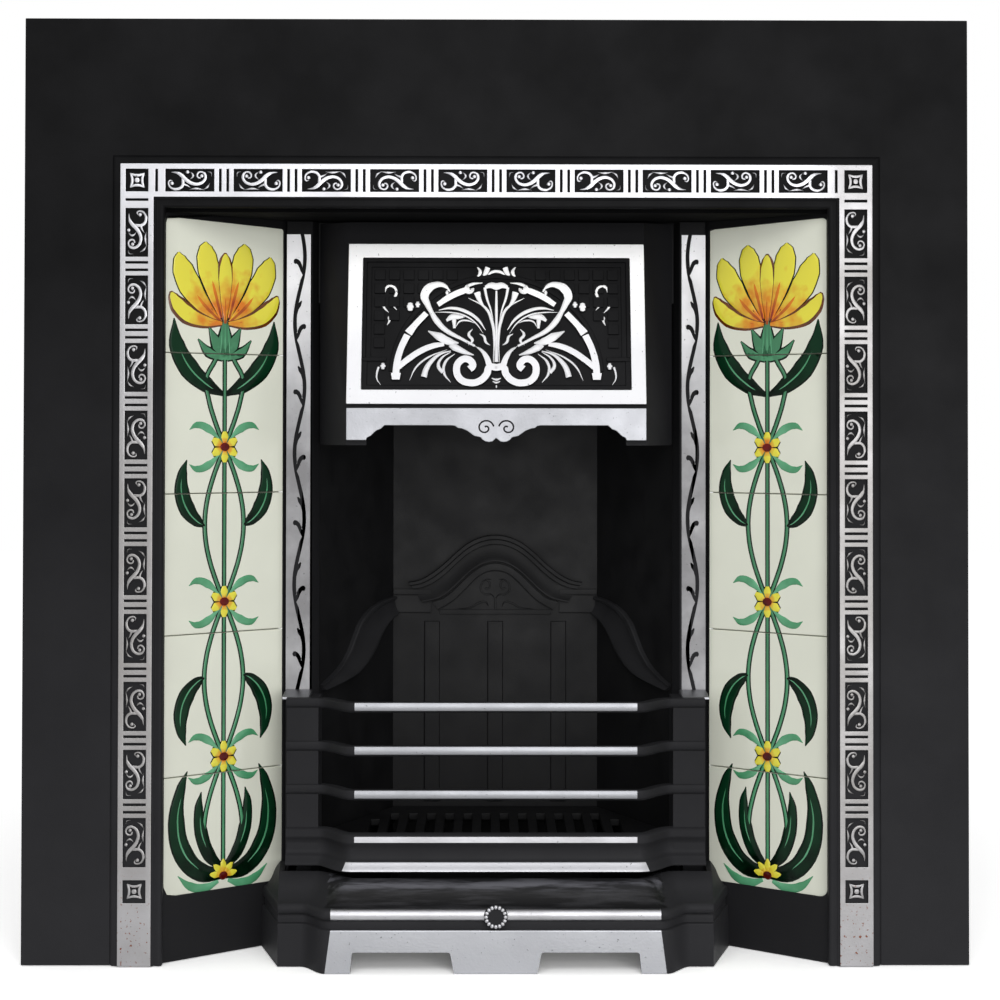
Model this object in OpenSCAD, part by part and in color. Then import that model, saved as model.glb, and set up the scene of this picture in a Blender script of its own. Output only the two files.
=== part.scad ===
// Tiled cast iron fireplace insert: a square front plate with a moulded and polished border,
// splayed side panels that each hold a column of five tiles, an inner frame with two
// pilasters, a canopy hood, a firebox with a hinged damper, a lift-off fire front and
// grate, and an ash cover that draws forward with the ash pan behind it.
// All sizes are in millimetres. X is across the fireplace, Y runs back into the wall and
// Z is up. The bottom of every standing piece is at Z = 0.

/* [Front plate] */
// Overall width of the front plate
plate_w = 1016; // [960:2:1100]
// Overall height of the front plate
plate_h = 1016; // [1000:2:1100]
// Wall thickness of the flat castings
plate_t = 6; // [5:0.5:8]
// Width of the stiffening rim behind the edge of the plate
rim_w = 8; // [5:0.5:14]
// Depth of the stiffening rim behind the front face
rim_d = 16; // [12:0.5:24]

/* [Border] */
// Width of the black step outside the polished band
step_w = 10; // [6:0.5:14]
// Width of the polished band
band_w = 36; // [32:0.5:38]
// Width of the black bead between the band and the opening
bead_w = 11; // [8:0.5:14]
// How far the polished band stands in front of the plate
band_proud = 7; // [5:0.5:10]
// Depth of the sunk ornament pockets in the band
pocket_d = 3.5; // [2:0.5:4]
// Width of a sunk pocket across the band
pocket_w = 24; // [18:0.5:26]
// Length of a sunk pocket along the band
pocket_l = 52; // [44:0.5:54]
// Pockets along the top
pockets_top = 10; // [8:1:10]
// Pockets up each side
pockets_side = 10; // [8:1:10]
// Width of the thin grooves between pockets
groove_w = 2.4; // [1.5:0.1:3]
// Distance between the two grooves of a pair
groove_gap = 8; // [6:0.5:9]
// Plain length of polished band below the lowest corner square
plain_leg = 68; // [60:1:80]

/* [Tiles] */
// Side of one square tile
tile = 152.4; // [150:0.1:154]
// Tile thickness
tile_t = 8; // [6:0.5:10]
// Joint between two tiles
tile_joint = 0.8; // [0.5:0.1:2]
// Tiles in each column
tiles_high = 5; // [5:1:5]
// Height of the lower edge of the lowest tile above the hearth
tile_base = 44; // [30:1:50]
// How much of the lowest tile the casting hides
cover_low = 26; // [10:1:30]
// How much of the highest tile the casting hides
cover_high = 10.6; // [6:0.2:14]
// How far the casting laps over the upright edges of the tiles
tile_lip = 3.2; // [2:0.1:5]
// Thickness of the lip in front of the tiles
lip_t = 2.5; // [2:0.1:3.5]
// Angle between the side panels and the front plate
splay = 36; // [32:0.5:38]

/* [Inner frame] */
// Width of the fire opening between the pilaster strips
fire_w = 412; // [400:1:424]
// Width of the polished pilaster strips
pilaster_w = 29; // [24:0.5:32]
// Depth of the jamb behind the pilasters
jamb_d = 27.5; // [24:0.5:34]
// How far the jamb narrows the opening towards the back
jamb_lean = 6; // [3:0.5:8]
// Height of the top of the fire front posts and of the foot of the polished strips
post_top = 280; // [270:1:300]

/* [Hood] */
// Height of the lower edge of the hood sides
hood_low = 556; // [540:1:566]
// Height of the knee where the sloping front begins
hood_knee = 600; // [592:1:610]
// Width of the sloping front
hood_front_w = 328; // [300:1:332]
// Distance of the knee behind the front face of the plate
hood_knee_y = 37; // [30:0.5:42]
// Backward lean of the sloping front
hood_lean = 12.6; // [8:0.2:14]
// Height of the ornamental panel along its slope
hood_panel_h = 183; // [160:1:186]
// Width of the polished frame round the ornamental panel
hood_frame_w = 16; // [12:0.5:20]
// Thickness of the ornamental panel and of the valance
hood_plate_t = 6.5; // [5:0.5:9]
// Height of the valance at its two ends
valance_h = 37; // [32:0.5:38]

/* [Firebox] */
// Width of the fireback between the cheeks
back_w = 247; // [230:1:270]
// Distance of the fireback behind the front face of the plate
back_y = 275; // [255:1:300]
// Height of the firebox walls
firebox_h = 720; // [700:1:730]
// Wall thickness of the firebox plates
firebox_t = 8; // [6:0.5:10]
// Height of the raised mouldings on the firebox plates
relief_t = 4; // [2:0.5:6]
// Width of the damper opening
damper_w = 240; // [180:1:250]
// Depth of the damper opening
damper_d = 100; // [80:1:104]
// Radius of the damper pin
damper_pin_r = 4; // [3:0.25:5]

/* [Fire front] */
// Width of the curved stretch at each end of the bars
bar_turn = 39; // [30:1:46]
// Distance of the straight part of the bars behind the front face of the plate
bar_y = 5; // [0:0.5:10]
// Distance of the post faces behind the front face of the plate
post_y = 40; // [34:0.5:44]
// Width of each post
post_w = 35; // [28:0.5:36]
// Height of one bar
bar_h = 10.5; // [8:0.5:13]
// Depth of one bar
bar_d = 11; // [8:0.5:14]
// Distance between the tops of two bars
bar_pitch = 46.5; // [44:0.5:47]
// Number of open bars
bars = 3; // [2:1:3]
// Height of the lower edge of the solid apron
apron_low = 99; // [96:0.5:104]
// Height of the solid apron
apron_h = 40; // [34:0.5:42]

/* [Grate] */
// Height of the top of the grate above the hearth
grate_top = 118; // [116:0.5:122]
// Thickness of the grate
grate_t = 8; // [6:0.5:10]
// Number of slots in each row
slots = 14; // [10:1:14]
// Width of one slot
slot_w = 11; // [8:0.5:13]
// Distance between two slots
slot_pitch = 21.5; // [18:0.5:22]

/* [Ash cover and pan] */
// Height of the ash cover
cover_h = 92; // [86:0.5:94]
// Wall thickness of the ash cover
cover_t = 5; // [4:0.5:7]
// How much further the straight part of the cover reaches at the hearth than the bars do
cover_flare = 25; // [20:1:30]
// Distance of the foot of the cover in front of the plate's front face
cover_out = 33; // [28:0.5:40]
// Height of the two air openings in the fret
fret_gap_h = 20.5; // [14:0.5:26]
// Radius of the draw knob
knob_r = 12.5; // [10:0.5:13]
// Number of notches round the knob's ring
knob_notches = 9; // [6:1:16]
// Width of the ash pan
pan_w = 240; // [180:1:244]
// Height of the ash pan
pan_h = 60; // [40:1:66]
// Sheet thickness of the ash pan
pan_t = 2; // [1.5:0.1:3]

/* [Fixings] */
// Radius of the wall screw holes in the fixing lugs
lug_hole_r = 4; // [3:0.25:5]
// Distance between the two lugs on one side
lug_spacing = 550; // [500:5:600]
// Radius of the bolts that hold the castings together
bolt_r = 3; // [2.5:0.25:3.5]

/* [Hidden] */
$fn = 48;

black = "#1b1b1c";
polished = "#b9b8bc";
cream = "#dfe0d2";
steel = "#6f7276";

fit = 0.3;              // gap between two castings that seat on each other
hole_fit = 0.4;         // gap round a bolt
small = 0.01;           // overshoot of a cut past a face
lap = 0.1;              // how far a layer of a moulding reaches into the one below it

// Inner frame, across: the pilaster strips stand at each side of the fire opening
leg_in = fire_w / 2;
leg_out = leg_in + pilaster_w;
leg_gap = 0.4;          // gap beside the pilaster strip

// Side panels: the front face of the right one runs from panel_out to panel_in
window_w = tile - 2 * tile_lip;
panel_edge = 4;
panel_l = window_w + 2 * panel_edge;
panel_t = 8;            // wall beside the tiles
panel_out = [leg_out + leg_gap + panel_l * cos(splay), plate_t + fit];
panel_in = panel_out + panel_l * [-cos(splay), sin(splay)];
panel_flange = 32;      // flange that is bolted behind the border
opening_lap = 3;        // how far the border laps over the outer edge of the side panels
behind = [sin(splay), cos(splay)];   // unit step from the panel's face to its back

// Border and opening of the front plate
open_half = round(2 * (panel_out[0] - opening_lap)) / 2;
band_in = open_half + bead_w;
band_out = band_in + band_w;
step_out = band_out + step_w;
tiles_top = tile_base + tiles_high * (tile + tile_joint) - tile_joint;
seam_zs = [for (k = [1 : tiles_high - 1]) tile_base + k * (tile + tile_joint) - tile_joint / 2];
soffit_rise = 9;        // height of the soffit above the windows
soffit_lap = 4;         // how far the border laps over the front edge of the soffit
window_low = tile_base + cover_low;
window_top = tiles_top - cover_high;
soffit_z = window_top + soffit_rise;
open_top = soffit_z + soffit_lap;
band_low_z = open_top + bead_w;
band_top_z = band_low_z + band_w;
step_top_z = band_top_z + step_w;
corner_sq = pocket_w;

panel_top = tiles_top + panel_t;

// Inner frame, in depth: its strips stand in front of the inner flanges of the side panels
leg_back = panel_in[1] - fit;
leg_front = leg_back - plate_t;
jamb_back = leg_front + jamb_d;
jamb_in = leg_in - jamb_lean;
header_y = jamb_back - 2 * plate_t;

// Hood
hood_half = jamb_in - 1;
hood_top = soffit_z - 2;
hood_back = header_y - fit;
hood_bolt_z = hood_top - 18;
header_lap = 4;         // how far the header reaches down in front of the throat plate
header_low = min(firebox_h, hood_bolt_z - 10) - header_lap;
function hood_y(z) = hood_knee_y + max(0, z - hood_knee) * tan(hood_lean);
valance_top = hood_knee - 3;

// Firebox
cheek_front = jamb_back + fit;
cheek_back = back_y - fit;
back_half = back_w / 2;
cheek_flange = 22;
firebox_bolt_low = 60;
firebox_bolt_zs = [for (i = [0 : 3]) firebox_bolt_low + i * (firebox_h - firebox_bolt_low - 50) / 3];
cheek_half = jamb_in + 3;
cheek_run = [back_half - cheek_half, cheek_back - cheek_front];
cheek_dir = cheek_run / norm(cheek_run);
cheek_out = [cheek_dir[1], -cheek_dir[0]];
function cheek_x(y) = cheek_half + cheek_run[0] * (y - cheek_front) / cheek_run[1];
ledge_top = grate_top - grate_t - fit;
ledge_h = 8;
throat_y0 = header_y + plate_t + fit;
damper_y0 = jamb_back + 16;
flap_t = 6;
damper_z = firebox_h + plate_t + fit;
hinge_y = damper_y0 + damper_d + 12;
hinge_z = damper_z + damper_pin_r + 4;
ear_x = damper_w / 2 - 16;
ear_t = 6;
ear_r = damper_pin_r + 4;

// Fire front
post_out = leg_out - 6;
post_in = post_out - post_w;
bar_half = post_in - bar_turn;
cover_half = bar_half + cover_flare;
post_back = leg_front - 2.5;
hook_z = 212;
hook_l = 12;

// Ash cover: plan at the hearth and plan at the top edge
ped_out = post_out + 4;
ped_y = -5;
cover_top_y = 3;

// Ash pan
pan_front = 72;
pan_back = back_y - 0.4;
handle_r = 2.5;
handle_half = 40;
handle_z = pan_h - 15;
handle_y = pan_front - 7;
handle_drop = 26;

// Fixing lugs
lug_t = 4;
lug_w = 30;
lug_boss_r = 9;
lug_leg = 30;           // width of the leg that is bolted to the plate
lug_d = 40;
lug_x = plate_w / 2 - rim_w - lug_leg;
lug_bolt_x = lug_x - lug_leg / 2;
lug_boss_h = 6;
lug_seat = plate_t + lug_boss_h + fit;
lug_mid_z = 525;
lug_hole_in = 22;       // wall screw hole from the back end of the lug
lug_hole_y = lug_seat + lug_d - lug_hole_in;

// The origin is in the middle of the depth of the whole fireplace
head_h = 4;
knob_t = 4.2;
neck_share = 0.04;      // how far the neck of the cover's profile lies back, as a share of the way from foot to head
knob_seat = neck_share * (cover_top_y + cover_out) - cover_out - fit;
front_most = knob_seat - knob_t;
back_most = back_y + firebox_t + small + head_h;
mid_y = (front_most + back_most) / 2;

// ---------- helpers ----------

// Mirrors its children to the left side where side is -1
module on_side(side) {
    if (side > 0) children();
    else mirror([1, 0, 0]) children();
}

// Cylinder along +Y from y0 to y1
module rod_y(x, y0, y1, z, r) {
    translate([x, y0, z]) rotate([-90, 0, 0]) cylinder(h = y1 - y0, r = r);
}

// Cylinder along +X from x0 to x1
module rod_x(x0, x1, y, z, r) {
    translate([x0, y, z]) rotate([0, 90, 0]) cylinder(h = x1 - x0, r = r);
}

// Box given by two corners
module box(lo, hi) {
    translate(lo) cube(hi - lo);
}

// Hexagon bolt along Y: its head is behind y and its shank runs forward from y
module bolt_y(x, y, z, shank) {
    union() {
        translate([x, y, z]) rotate([-90, 0, 0]) cylinder(h = head_h, r = bolt_r * 1.9, $fn = 6);
        rod_y(x, y - shank, y + small, z, bolt_r);
    }
}

// Points of an S shaped curve between two plan points, without its two ends
function s_curve(a, b, n) = [
    for (i = [1 : n - 1])
        let (t = i / n)
        [a[0] + (b[0] - a[0]) * t, a[1] + (b[1] - a[1]) * (1 - cos(180 * t)) / 2]];

// A plan line and its mirror image, from left to right
function both_sides(left) = concat(left, [for (i = [len(left) - 1 : -1 : 0]) [-left[i][0], left[i][1]]]);

function unit(v) = v / norm(v);
function seg_normal(a, b) = let (t = unit(b - a)) [t[1], -t[0]];

// Outward mitre direction at each point of a plan line that runs from left to right
function mitres(p) = [
    for (i = [0 : len(p) - 1])
        let (
            before = seg_normal(p[max(i - 1, 0)], p[max(i, 1)]),
            after = seg_normal(p[min(i, len(p) - 2)], p[min(i + 1, len(p) - 1)]),
            mid = unit(before + after))
        mid / max(0.5, mid * before)];

// Upright band that follows a plan line, from d0 to d1 outwards of it and from z0 to z1
module band(path, d0, d1, z0, z1) {
    m = mitres(path);
    last = len(path) - 1;
    translate([0, 0, z0]) linear_extrude(height = z1 - z0)
        polygon(concat([for (i = [0 : last]) path[i] + m[i] * d1], [for (i = [last : -1 : 0]) path[i] + m[i] * d0]));
}

// Moulding along a plan line, in thin bands: each band is [height of its foot, distance outwards],
// and the last one gives only the top
module moulding(path, inner, bands) {
    for (i = [0 : len(bands) - 2])
        band(path, inner, bands[i][1], bands[i][0] - (i > 0 ? lap : 0), bands[i + 1][0]);
}

// Solid between closed plan outlines: rings holds one outline for each height
module stack(rings) {
    n = len(rings[0]);
    k = len(rings);
    sides = [
        for (i = [0 : k - 2])
            for (j = [0 : n - 1])
                let (a = i * n + j, b = i * n + (j + 1) % n)
                each [[a, a + n, b], [b, a + n, b + n]]];
    polyhedron(
        points = [for (r = rings) each r],
        faces = concat([[for (j = [0 : n - 1]) j]], sides, [[for (j = [n - 1 : -1 : 0]) (k - 1) * n + j]]));
}

// ---------- front plate and border ----------

// Section of the border across its width: [distance from the opening, forward height]
border_section = concat(
    [[0, -plate_t], [0, 1]],
    [for (a = [180 : -22.5 : 90]) [4 + 4 * cos(a), 1 + 3 * sin(a)]],
    [[bead_w - 3, 3], [bead_w - 2, band_proud - 2.5], [bead_w, band_proud - 2], [bead_w, band_proud]],
    [[bead_w + band_w, band_proud], [bead_w + band_w, band_proud - 2.5]],
    [for (a = [90 : -22.5 : 0])
        [bead_w + band_w + (step_w - 2) * sin(90 - a), 1 + (band_proud - 4) * sin(a)]],
    [[bead_w + band_w + step_w - 2, 0], [bead_w + band_w + step_w, -1], [bead_w + band_w + step_w, -plate_t]]);

module border_leg() {
    linear_extrude(height = open_top + bead_w + band_w + step_w)
        polygon([for (p = border_section) [open_half + p[0], -p[1]]]);
}

module border_top() {
    half = open_half + bead_w + band_w + step_w;
    translate([-half, 0, open_top]) rotate([90, 0, 90]) linear_extrude(height = 2 * half)
        polygon([for (p = border_section) [-p[1], p[0]]]);
}

// Wedge that keeps what lies beside the mitre line of the corner
module mitre_side() {
    reach = plate_w;
    translate([0, rim_d, 0]) rotate([90, 0, 0]) linear_extrude(height = rim_d + 2 * band_proud)
        polygon([[open_half, -small], [open_half, open_top], [open_half + reach, open_top + reach],
                 [open_half + reach, -small]]);
}

module mitre_top() {
    reach = plate_w;
    translate([0, rim_d, 0]) rotate([90, 0, 0]) linear_extrude(height = rim_d + 2 * band_proud)
        polygon([[-open_half, open_top], [open_half, open_top], [open_half + reach, open_top + reach],
                 [-open_half - reach, open_top + reach]]);
}

pocket_deep = band_proud - pocket_d;
run_top = 2 * band_in - 4;
run_side = band_low_z - 2 - plain_leg - corner_sq - 4;

module pocket(x, z, wx, wz) {
    box([x - wx / 2, -band_proud - 1, z - wz / 2], [x + wx / 2, -pocket_deep, z + wz / 2]);
}

module top_pockets() {
    pitch = run_top / pockets_top;
    z = band_low_z + band_w / 2;
    for (i = [0 : pockets_top - 1])
        pocket(-run_top / 2 + (i + 0.5) * pitch, z, min(pocket_l, pitch - 3 * groove_gap + 4), pocket_w);
    for (i = [1 : pockets_top - 1], s = [-0.5, 0.5])
        pocket(-run_top / 2 + i * pitch + s * groove_gap, z, groove_w, pocket_w);
    for (s = [-1, 1]) {
        pocket(s * (run_top / 2 - 1), z, groove_w, pocket_w);
        pocket(s * (band_in + band_w / 2), z, corner_sq, corner_sq);
    }
}

module side_pockets() {
    pitch = run_side / pockets_side;
    x = band_in + band_w / 2;
    top = band_low_z - 2;
    for (i = [0 : pockets_side - 1])
        pocket(x, top - (i + 0.5) * pitch, pocket_w, min(pocket_l, pitch - 3 * groove_gap + 4));
    for (i = [1 : pockets_side - 1], s = [-0.5, 0.5])
        pocket(x, top - i * pitch + s * groove_gap, pocket_w, groove_w);
    pocket(x, top - 1, pocket_w, groove_w);
    pocket(x, plain_leg + corner_sq / 2, corner_sq, corner_sq);
}

// Blind holes from the back for the bolts of the side panels and of the soffit
frame_bolt_x = panel_out[0] + 20;
frame_bolt_zs = seam_zs;
soffit_bolt_xs = [-240, -80, 80, 240];
soffit_bolt_z = band_low_z + band_w / 2 - 1;
frame_hole_y = -1.5;

module front_frame() {
    color(black) difference() {
        union() {
            // flat margin with its rim
            difference() {
                box([-plate_w / 2, 0, 0], [plate_w / 2, rim_d, plate_h]);
                box([-plate_w / 2 + rim_w, plate_t, -small], [plate_w / 2 - rim_w, rim_d + 1, plate_h - rim_w]);
                box([-step_out + 1, -1, -small], [step_out - 1, rim_d + 1, step_top_z - 1]);
            }
            for (side = [-1, 1]) on_side(side) intersection() {
                border_leg();
                mitre_side();
            }
            intersection() {
                border_top();
                mitre_top();
            }
            // bosses for the fixing lugs
            for (side = [-1, 1], end = [-1, 1])
                rod_y(side * lug_bolt_x, plate_t - small, plate_t + lug_boss_h, lug_mid_z + end * lug_spacing / 2, lug_boss_r);
        }
        top_pockets();
        for (side = [-1, 1]) on_side(side) side_pockets();
        for (side = [-1, 1], z = frame_bolt_zs)
            rod_y(side * frame_bolt_x, frame_hole_y, rim_d, z, bolt_r + hole_fit);
        for (x = soffit_bolt_xs)
            rod_y(x, frame_hole_y, rim_d, soffit_bolt_z, bolt_r + hole_fit);
        for (side = [-1, 1], end = [-1, 1])
            rod_y(side * lug_bolt_x, 2, plate_t + lug_boss_h + 1, lug_mid_z + end * lug_spacing / 2, bolt_r + hole_fit);
    }
}

// ---------- splayed reveals ----------

soffit_t = 5;
soffit_flange = soffit_bolt_z + 12;

module soffit_panel() {
    front = plate_t + fit;
    // gap to the splayed faces, measured along X
    side_gap = (fit + 0.2) / sin(splay);
    function reach(y) = panel_out[0] - (y - panel_out[1]) / tan(splay) - side_gap;
    color(black) difference() {
        union() {
            translate([0, 0, soffit_z]) linear_extrude(height = soffit_t)
                polygon([[-reach(front), front], [reach(front), front],
                         [reach(leg_front - fit), leg_front - fit], [-reach(leg_front - fit), leg_front - fit]]);
            box([-reach(front) + 12, front, soffit_z], [reach(front) - 12, front + soffit_t, soffit_flange]);
        }
        for (x = soffit_bolt_xs)
            rod_y(x, front - 1, front + soffit_t + 1, soffit_bolt_z, bolt_r + hole_fit);
    }
}

// Plan point on the right side panel: s along its face, d behind its face
function on_panel(s, d) = panel_out + s * [-cos(splay), sin(splay)] + d * behind;

// Box in the right side panel's own directions: along, behind and up
module panel_box(s0, s1, d0, d1, z0, z1) {
    translate([0, 0, z0]) linear_extrude(height = z1 - z0)
        polygon([on_panel(s0, d0), on_panel(s1, d0), on_panel(s1, d1), on_panel(s0, d1)]);
}

tile_s0 = panel_edge - tile_lip;
tile_pocket_gap = 0.3;
clamp_zs = [tile_base + tile / 2, tile_base + 1.5 * tile + tile_joint, (tile_base + tiles_top) / 2,
            tiles_top - 1.5 * tile - tile_joint, tiles_top - tile / 2];
backing_t = 2;
clamp_t = 3;
clamp_w = 22;
clamp_d0 = lip_t + tile_t + backing_t + 3 * tile_pocket_gap;
// The clamps end clear of the flanges of the panel, and their screws sit near their ends
clamp_reach = (clamp_d0 * cos(splay) - plate_t - fit) / sin(splay);
clamp_end = 3.2;
pad_s = [clamp_end - clamp_reach, panel_l + clamp_reach - clamp_end];

panel_bolt_x = leg_in + pilaster_w / 2 - 2;
panel_bolt_zs = seam_zs;
panel_in_flange = leg_in + 6;

module side_panel(side) {
    back_line = on_panel(0, panel_t);
    function back_x(y) = back_line[0] - (y - back_line[1]) / tan(splay);
    front = panel_out[1];
    outer = panel_out[0] + panel_flange;
    color(black) on_side(side) difference() {
        union() {
            linear_extrude(height = panel_top) polygon([
                [outer, front], panel_out, panel_in, [panel_in_flange, panel_in[1]],
                [panel_in_flange, panel_in[1] + plate_t], [back_x(panel_in[1] + plate_t), panel_in[1] + plate_t],
                [back_x(front + plate_t), front + plate_t], [outer, front + plate_t]]);
            // pads behind the panel that the tile clamps are screwed to
            for (z = clamp_zs) intersection() {
                panel_box(-clamp_reach, panel_l + clamp_reach, lip_t, clamp_d0, z - clamp_w / 2, z + clamp_w / 2);
                box([0, front, 0], [outer, back_y, panel_top]);
            }
        }
        panel_box(panel_edge, panel_l - panel_edge, -5, lip_t + 1, window_low, window_top);
        panel_box(tile_s0 - tile_pocket_gap, panel_l - tile_s0 + tile_pocket_gap, lip_t, clamp_d0 + panel_t,
                  tile_base - tile_pocket_gap, tiles_top + tile_pocket_gap);
        for (z = frame_bolt_zs) rod_y(frame_bolt_x, front - 1, front + plate_t + 1, z, bolt_r + hole_fit);
        for (z = panel_bolt_zs)
            rod_y(panel_bolt_x, panel_in[1] - 1, panel_in[1] + plate_t + 1, z, bolt_r + hole_fit);
        for (z = clamp_zs, s = pad_s) clamp_screw_hole(s, z);
    }
}

screw_r = 2;
screw_l = 8;

module clamp_screw_hole(s, z) {
    p = on_panel(s, clamp_d0 - screw_l);
    translate([p[0], p[1], z]) rotate([0, 0, -splay]) rotate([-90, 0, 0])
        cylinder(h = screw_l + 20, r = screw_r + 0.15);
}

// ---------- tiles and what holds them ----------

module wall_tile(side, n) {
    z = tile_base + (n - 1) * (tile + tile_joint);
    color(cream) on_side(side)
        panel_box(tile_s0, tile_s0 + tile, lip_t + tile_pocket_gap, lip_t + tile_pocket_gap + tile_t, z, z + tile);
}

module tile_backing(side) {
    d = lip_t + tile_t + 2 * tile_pocket_gap;
    color(steel) on_side(side)
        panel_box(tile_s0 + 3, tile_s0 + tile - 3, d, d + backing_t, tile_base + 3, tiles_top - 3);
}

module tile_clamps(side) {
    color(steel) on_side(side) for (z = clamp_zs) difference() {
        panel_box(-clamp_reach, panel_l + clamp_reach, clamp_d0, clamp_d0 + clamp_t, z - clamp_w / 2 + 2, z + clamp_w / 2 - 2);
        for (s = pad_s) clamp_screw_hole(s, z);
    }
}

module tile_clamp_screws() {
    color(steel) for (side = [-1, 1], z = clamp_zs, s = pad_s) on_side(side) {
        p = on_panel(s, clamp_d0 + clamp_t);
        translate([p[0], p[1], z]) rotate([0, 0, -splay]) rotate([-90, 0, 0]) {
            cylinder(h = 2.2, r = screw_r * 1.9);
            translate([0, 0, -screw_l + 1]) cylinder(h = screw_l - 1 + small, r = screw_r);
        }
    }
}

// ---------- inner frame with the pilasters ----------

frame_top = soffit_z - fit;
back_flange = 26;

module inner_leg() {
    linear_extrude(height = frame_top) polygon([
        [leg_out, leg_front], [leg_in, leg_front], [jamb_in, jamb_back - plate_t], [jamb_in, jamb_back],
        [jamb_in + back_flange, jamb_back], [jamb_in + back_flange, jamb_back - plate_t],
        [jamb_in + plate_t, jamb_back - plate_t], [leg_in + plate_t, leg_back], [leg_out, leg_back]]);
}

cheek_bolt_x = jamb_in + back_flange - 9;
cheek_bolt_zs = firebox_bolt_zs;
hook_x = (post_in + post_out) / 2;

module inner_frame() {
    color(black) difference() {
        union() {
            for (side = [-1, 1]) on_side(side) {
                inner_leg();
                // lug with an upturned lip that the fire front hangs on
                box([hook_x - 5, leg_front - hook_l, hook_z - 12], [hook_x + 5, leg_front + small, hook_z]);
                box([hook_x - 5, leg_front - hook_l, hook_z - 12], [hook_x + 5, leg_front - hook_l + 4, hook_z + 8]);
            }
            // header behind the hood
            box([-jamb_in - 1, header_y, header_low], [jamb_in + 1, header_y + plate_t, frame_top]);
        }
        for (side = [-1, 1], z = panel_bolt_zs)
            rod_y(side * panel_bolt_x, leg_front + 2, leg_back + 1, z, bolt_r + hole_fit);
        for (side = [-1, 1], z = cheek_bolt_zs)
            rod_y(side * cheek_bolt_x, jamb_back - plate_t - 1, jamb_back + 1, z, bolt_r + hole_fit);
        for (x = hood_bolt_xs) rod_y(x, header_y - 1, header_y + plate_t + 1, hood_bolt_z, bolt_r + hole_fit);
    }
}

// ---------- hood ----------

hood_wall = 5;
hood_bolt_xs = [-150, 0, 150];

function hood_ring(z, inset) = [
    [-hood_half + inset, hood_back + (inset > 0 ? 1 : 0), z], [-hood_front_w / 2 - 1 + inset * 0.6, hood_y(z) + inset, z],
    [hood_front_w / 2 + 1 - inset * 0.6, hood_y(z) + inset, z], [hood_half - inset, hood_back + (inset > 0 ? 1 : 0), z]];

module hood_shell() {
    notch_half = hood_front_w / 2 - 22;
    color(black) difference() {
        stack([for (z = [hood_low, hood_knee, hood_top]) hood_ring(z, 0)]);
        difference() {
            stack([for (z = [hood_low - 1, hood_knee, hood_top - hood_wall]) hood_ring(z, hood_wall)]);
            // flange that is bolted to the header
            box([-hood_half, hood_back - hood_wall, hood_bolt_z - 14], [hood_half, hood_back + 2, hood_top]);
        }
        // the front is cut away above the scalloped edge of the valance
        box([-notch_half, hood_knee_y - 1, hood_low - 1], [notch_half, hood_knee_y + hood_wall + 1, valance_top - 14]);
        for (x = hood_bolt_xs)
            rod_y(x, hood_back - hood_wall - 1, hood_back + 2, hood_bolt_z, bolt_r + hole_fit);
        for (x = [-1, 1], z = [1, -1]) hood_panel_place()
            translate([x * hood_stud_x, hood_stud_z + z * hood_stud_dz, -hood_wall - 3])
                cylinder(h = hood_wall + 6, r = stud_r + hole_fit);
        for (x = [-1, 1])
            rod_y(x * hood_stud_x, hood_knee_y - 1, hood_knee_y + hood_wall + 1, valance_top - 8, stud_r + hole_fit);
    }
}

stud_r = 2.5;
hood_stud_x = hood_front_w / 2 - hood_frame_w / 2;
hood_stud_z = hood_panel_h / 2;
hood_stud_dz = hood_panel_h / 2 - hood_frame_w / 2;

// Places its children on the sloping front: X across, Y up the slope, Z out of the face
module hood_panel_place() {
    translate([0, hood_y(hood_knee), hood_knee]) rotate([90 - hood_lean, 0, 0]) children();
}

// Points of an arch from -half to half, h high, drawn as part of a circle
function arc_points(half, h, n) =
    let (r = (half * half + h * h) / (2 * h), a = asin(half / r))
    [for (i = [0 : n]) let (t = -a + 2 * a * i / n) [r * sin(t), h - r + r * cos(t)]];

module hood_panel() {
    field_w = hood_front_w - 2 * hood_frame_w;
    field_h = hood_panel_h - 2 * hood_frame_w;
    arch_half = field_w / 2 - 30;
    arch_h = field_h - 26;
    color(polished) hood_panel_place() translate([0, 0, fit]) difference() {
        union() {
            difference() {
                translate([-hood_front_w / 2, 0, 0]) cube([hood_front_w, hood_panel_h, hood_plate_t]);
                translate([-field_w / 2, hood_frame_w, hood_plate_t - 4]) cube([field_w, field_h, 6]);
                translate([-field_w / 2 + 6, hood_frame_w + 6, hood_plate_t - 5]) cube([field_w - 12, field_h - 12, 6]);
            }
            // raised arch round the scrolled ornament
            translate([0, hood_frame_w + 8, hood_plate_t - 5 - small]) linear_extrude(height = 2)
                difference() {
                    polygon(arc_points(arch_half, arch_h, 24));
                    polygon(arc_points(arch_half - 5, arch_h - 5, 24));
                }
        }
        for (x = [-1, 1], z = [-1, 1])
            translate([x * hood_stud_x, hood_stud_z + z * hood_stud_dz, -1]) cylinder(h = 4, r = stud_r + hole_fit);
    }
}

// Lower edge of the right half of the valance: [distance from the middle, height above its ends]
valance_edge = concat(
    [[0, 0.5]],
    [for (a = [250 : 20 : 330]) [8 + 12 * cos(a) * 0.9, 9 + 11 * sin(a)]],
    [[24, 5], [32, 11], [38, 13.5], [42, 14], [45, 16.5], [49, 17]],
    [[hood_front_w / 2 - 42, 17], [hood_front_w / 2 - 38, 13], [hood_front_w / 2 - 33, 11],
     [hood_front_w / 2 - 27, 5], [hood_front_w / 2 - 23, 3], [hood_front_w / 2 - 22, 0]]);

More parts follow.
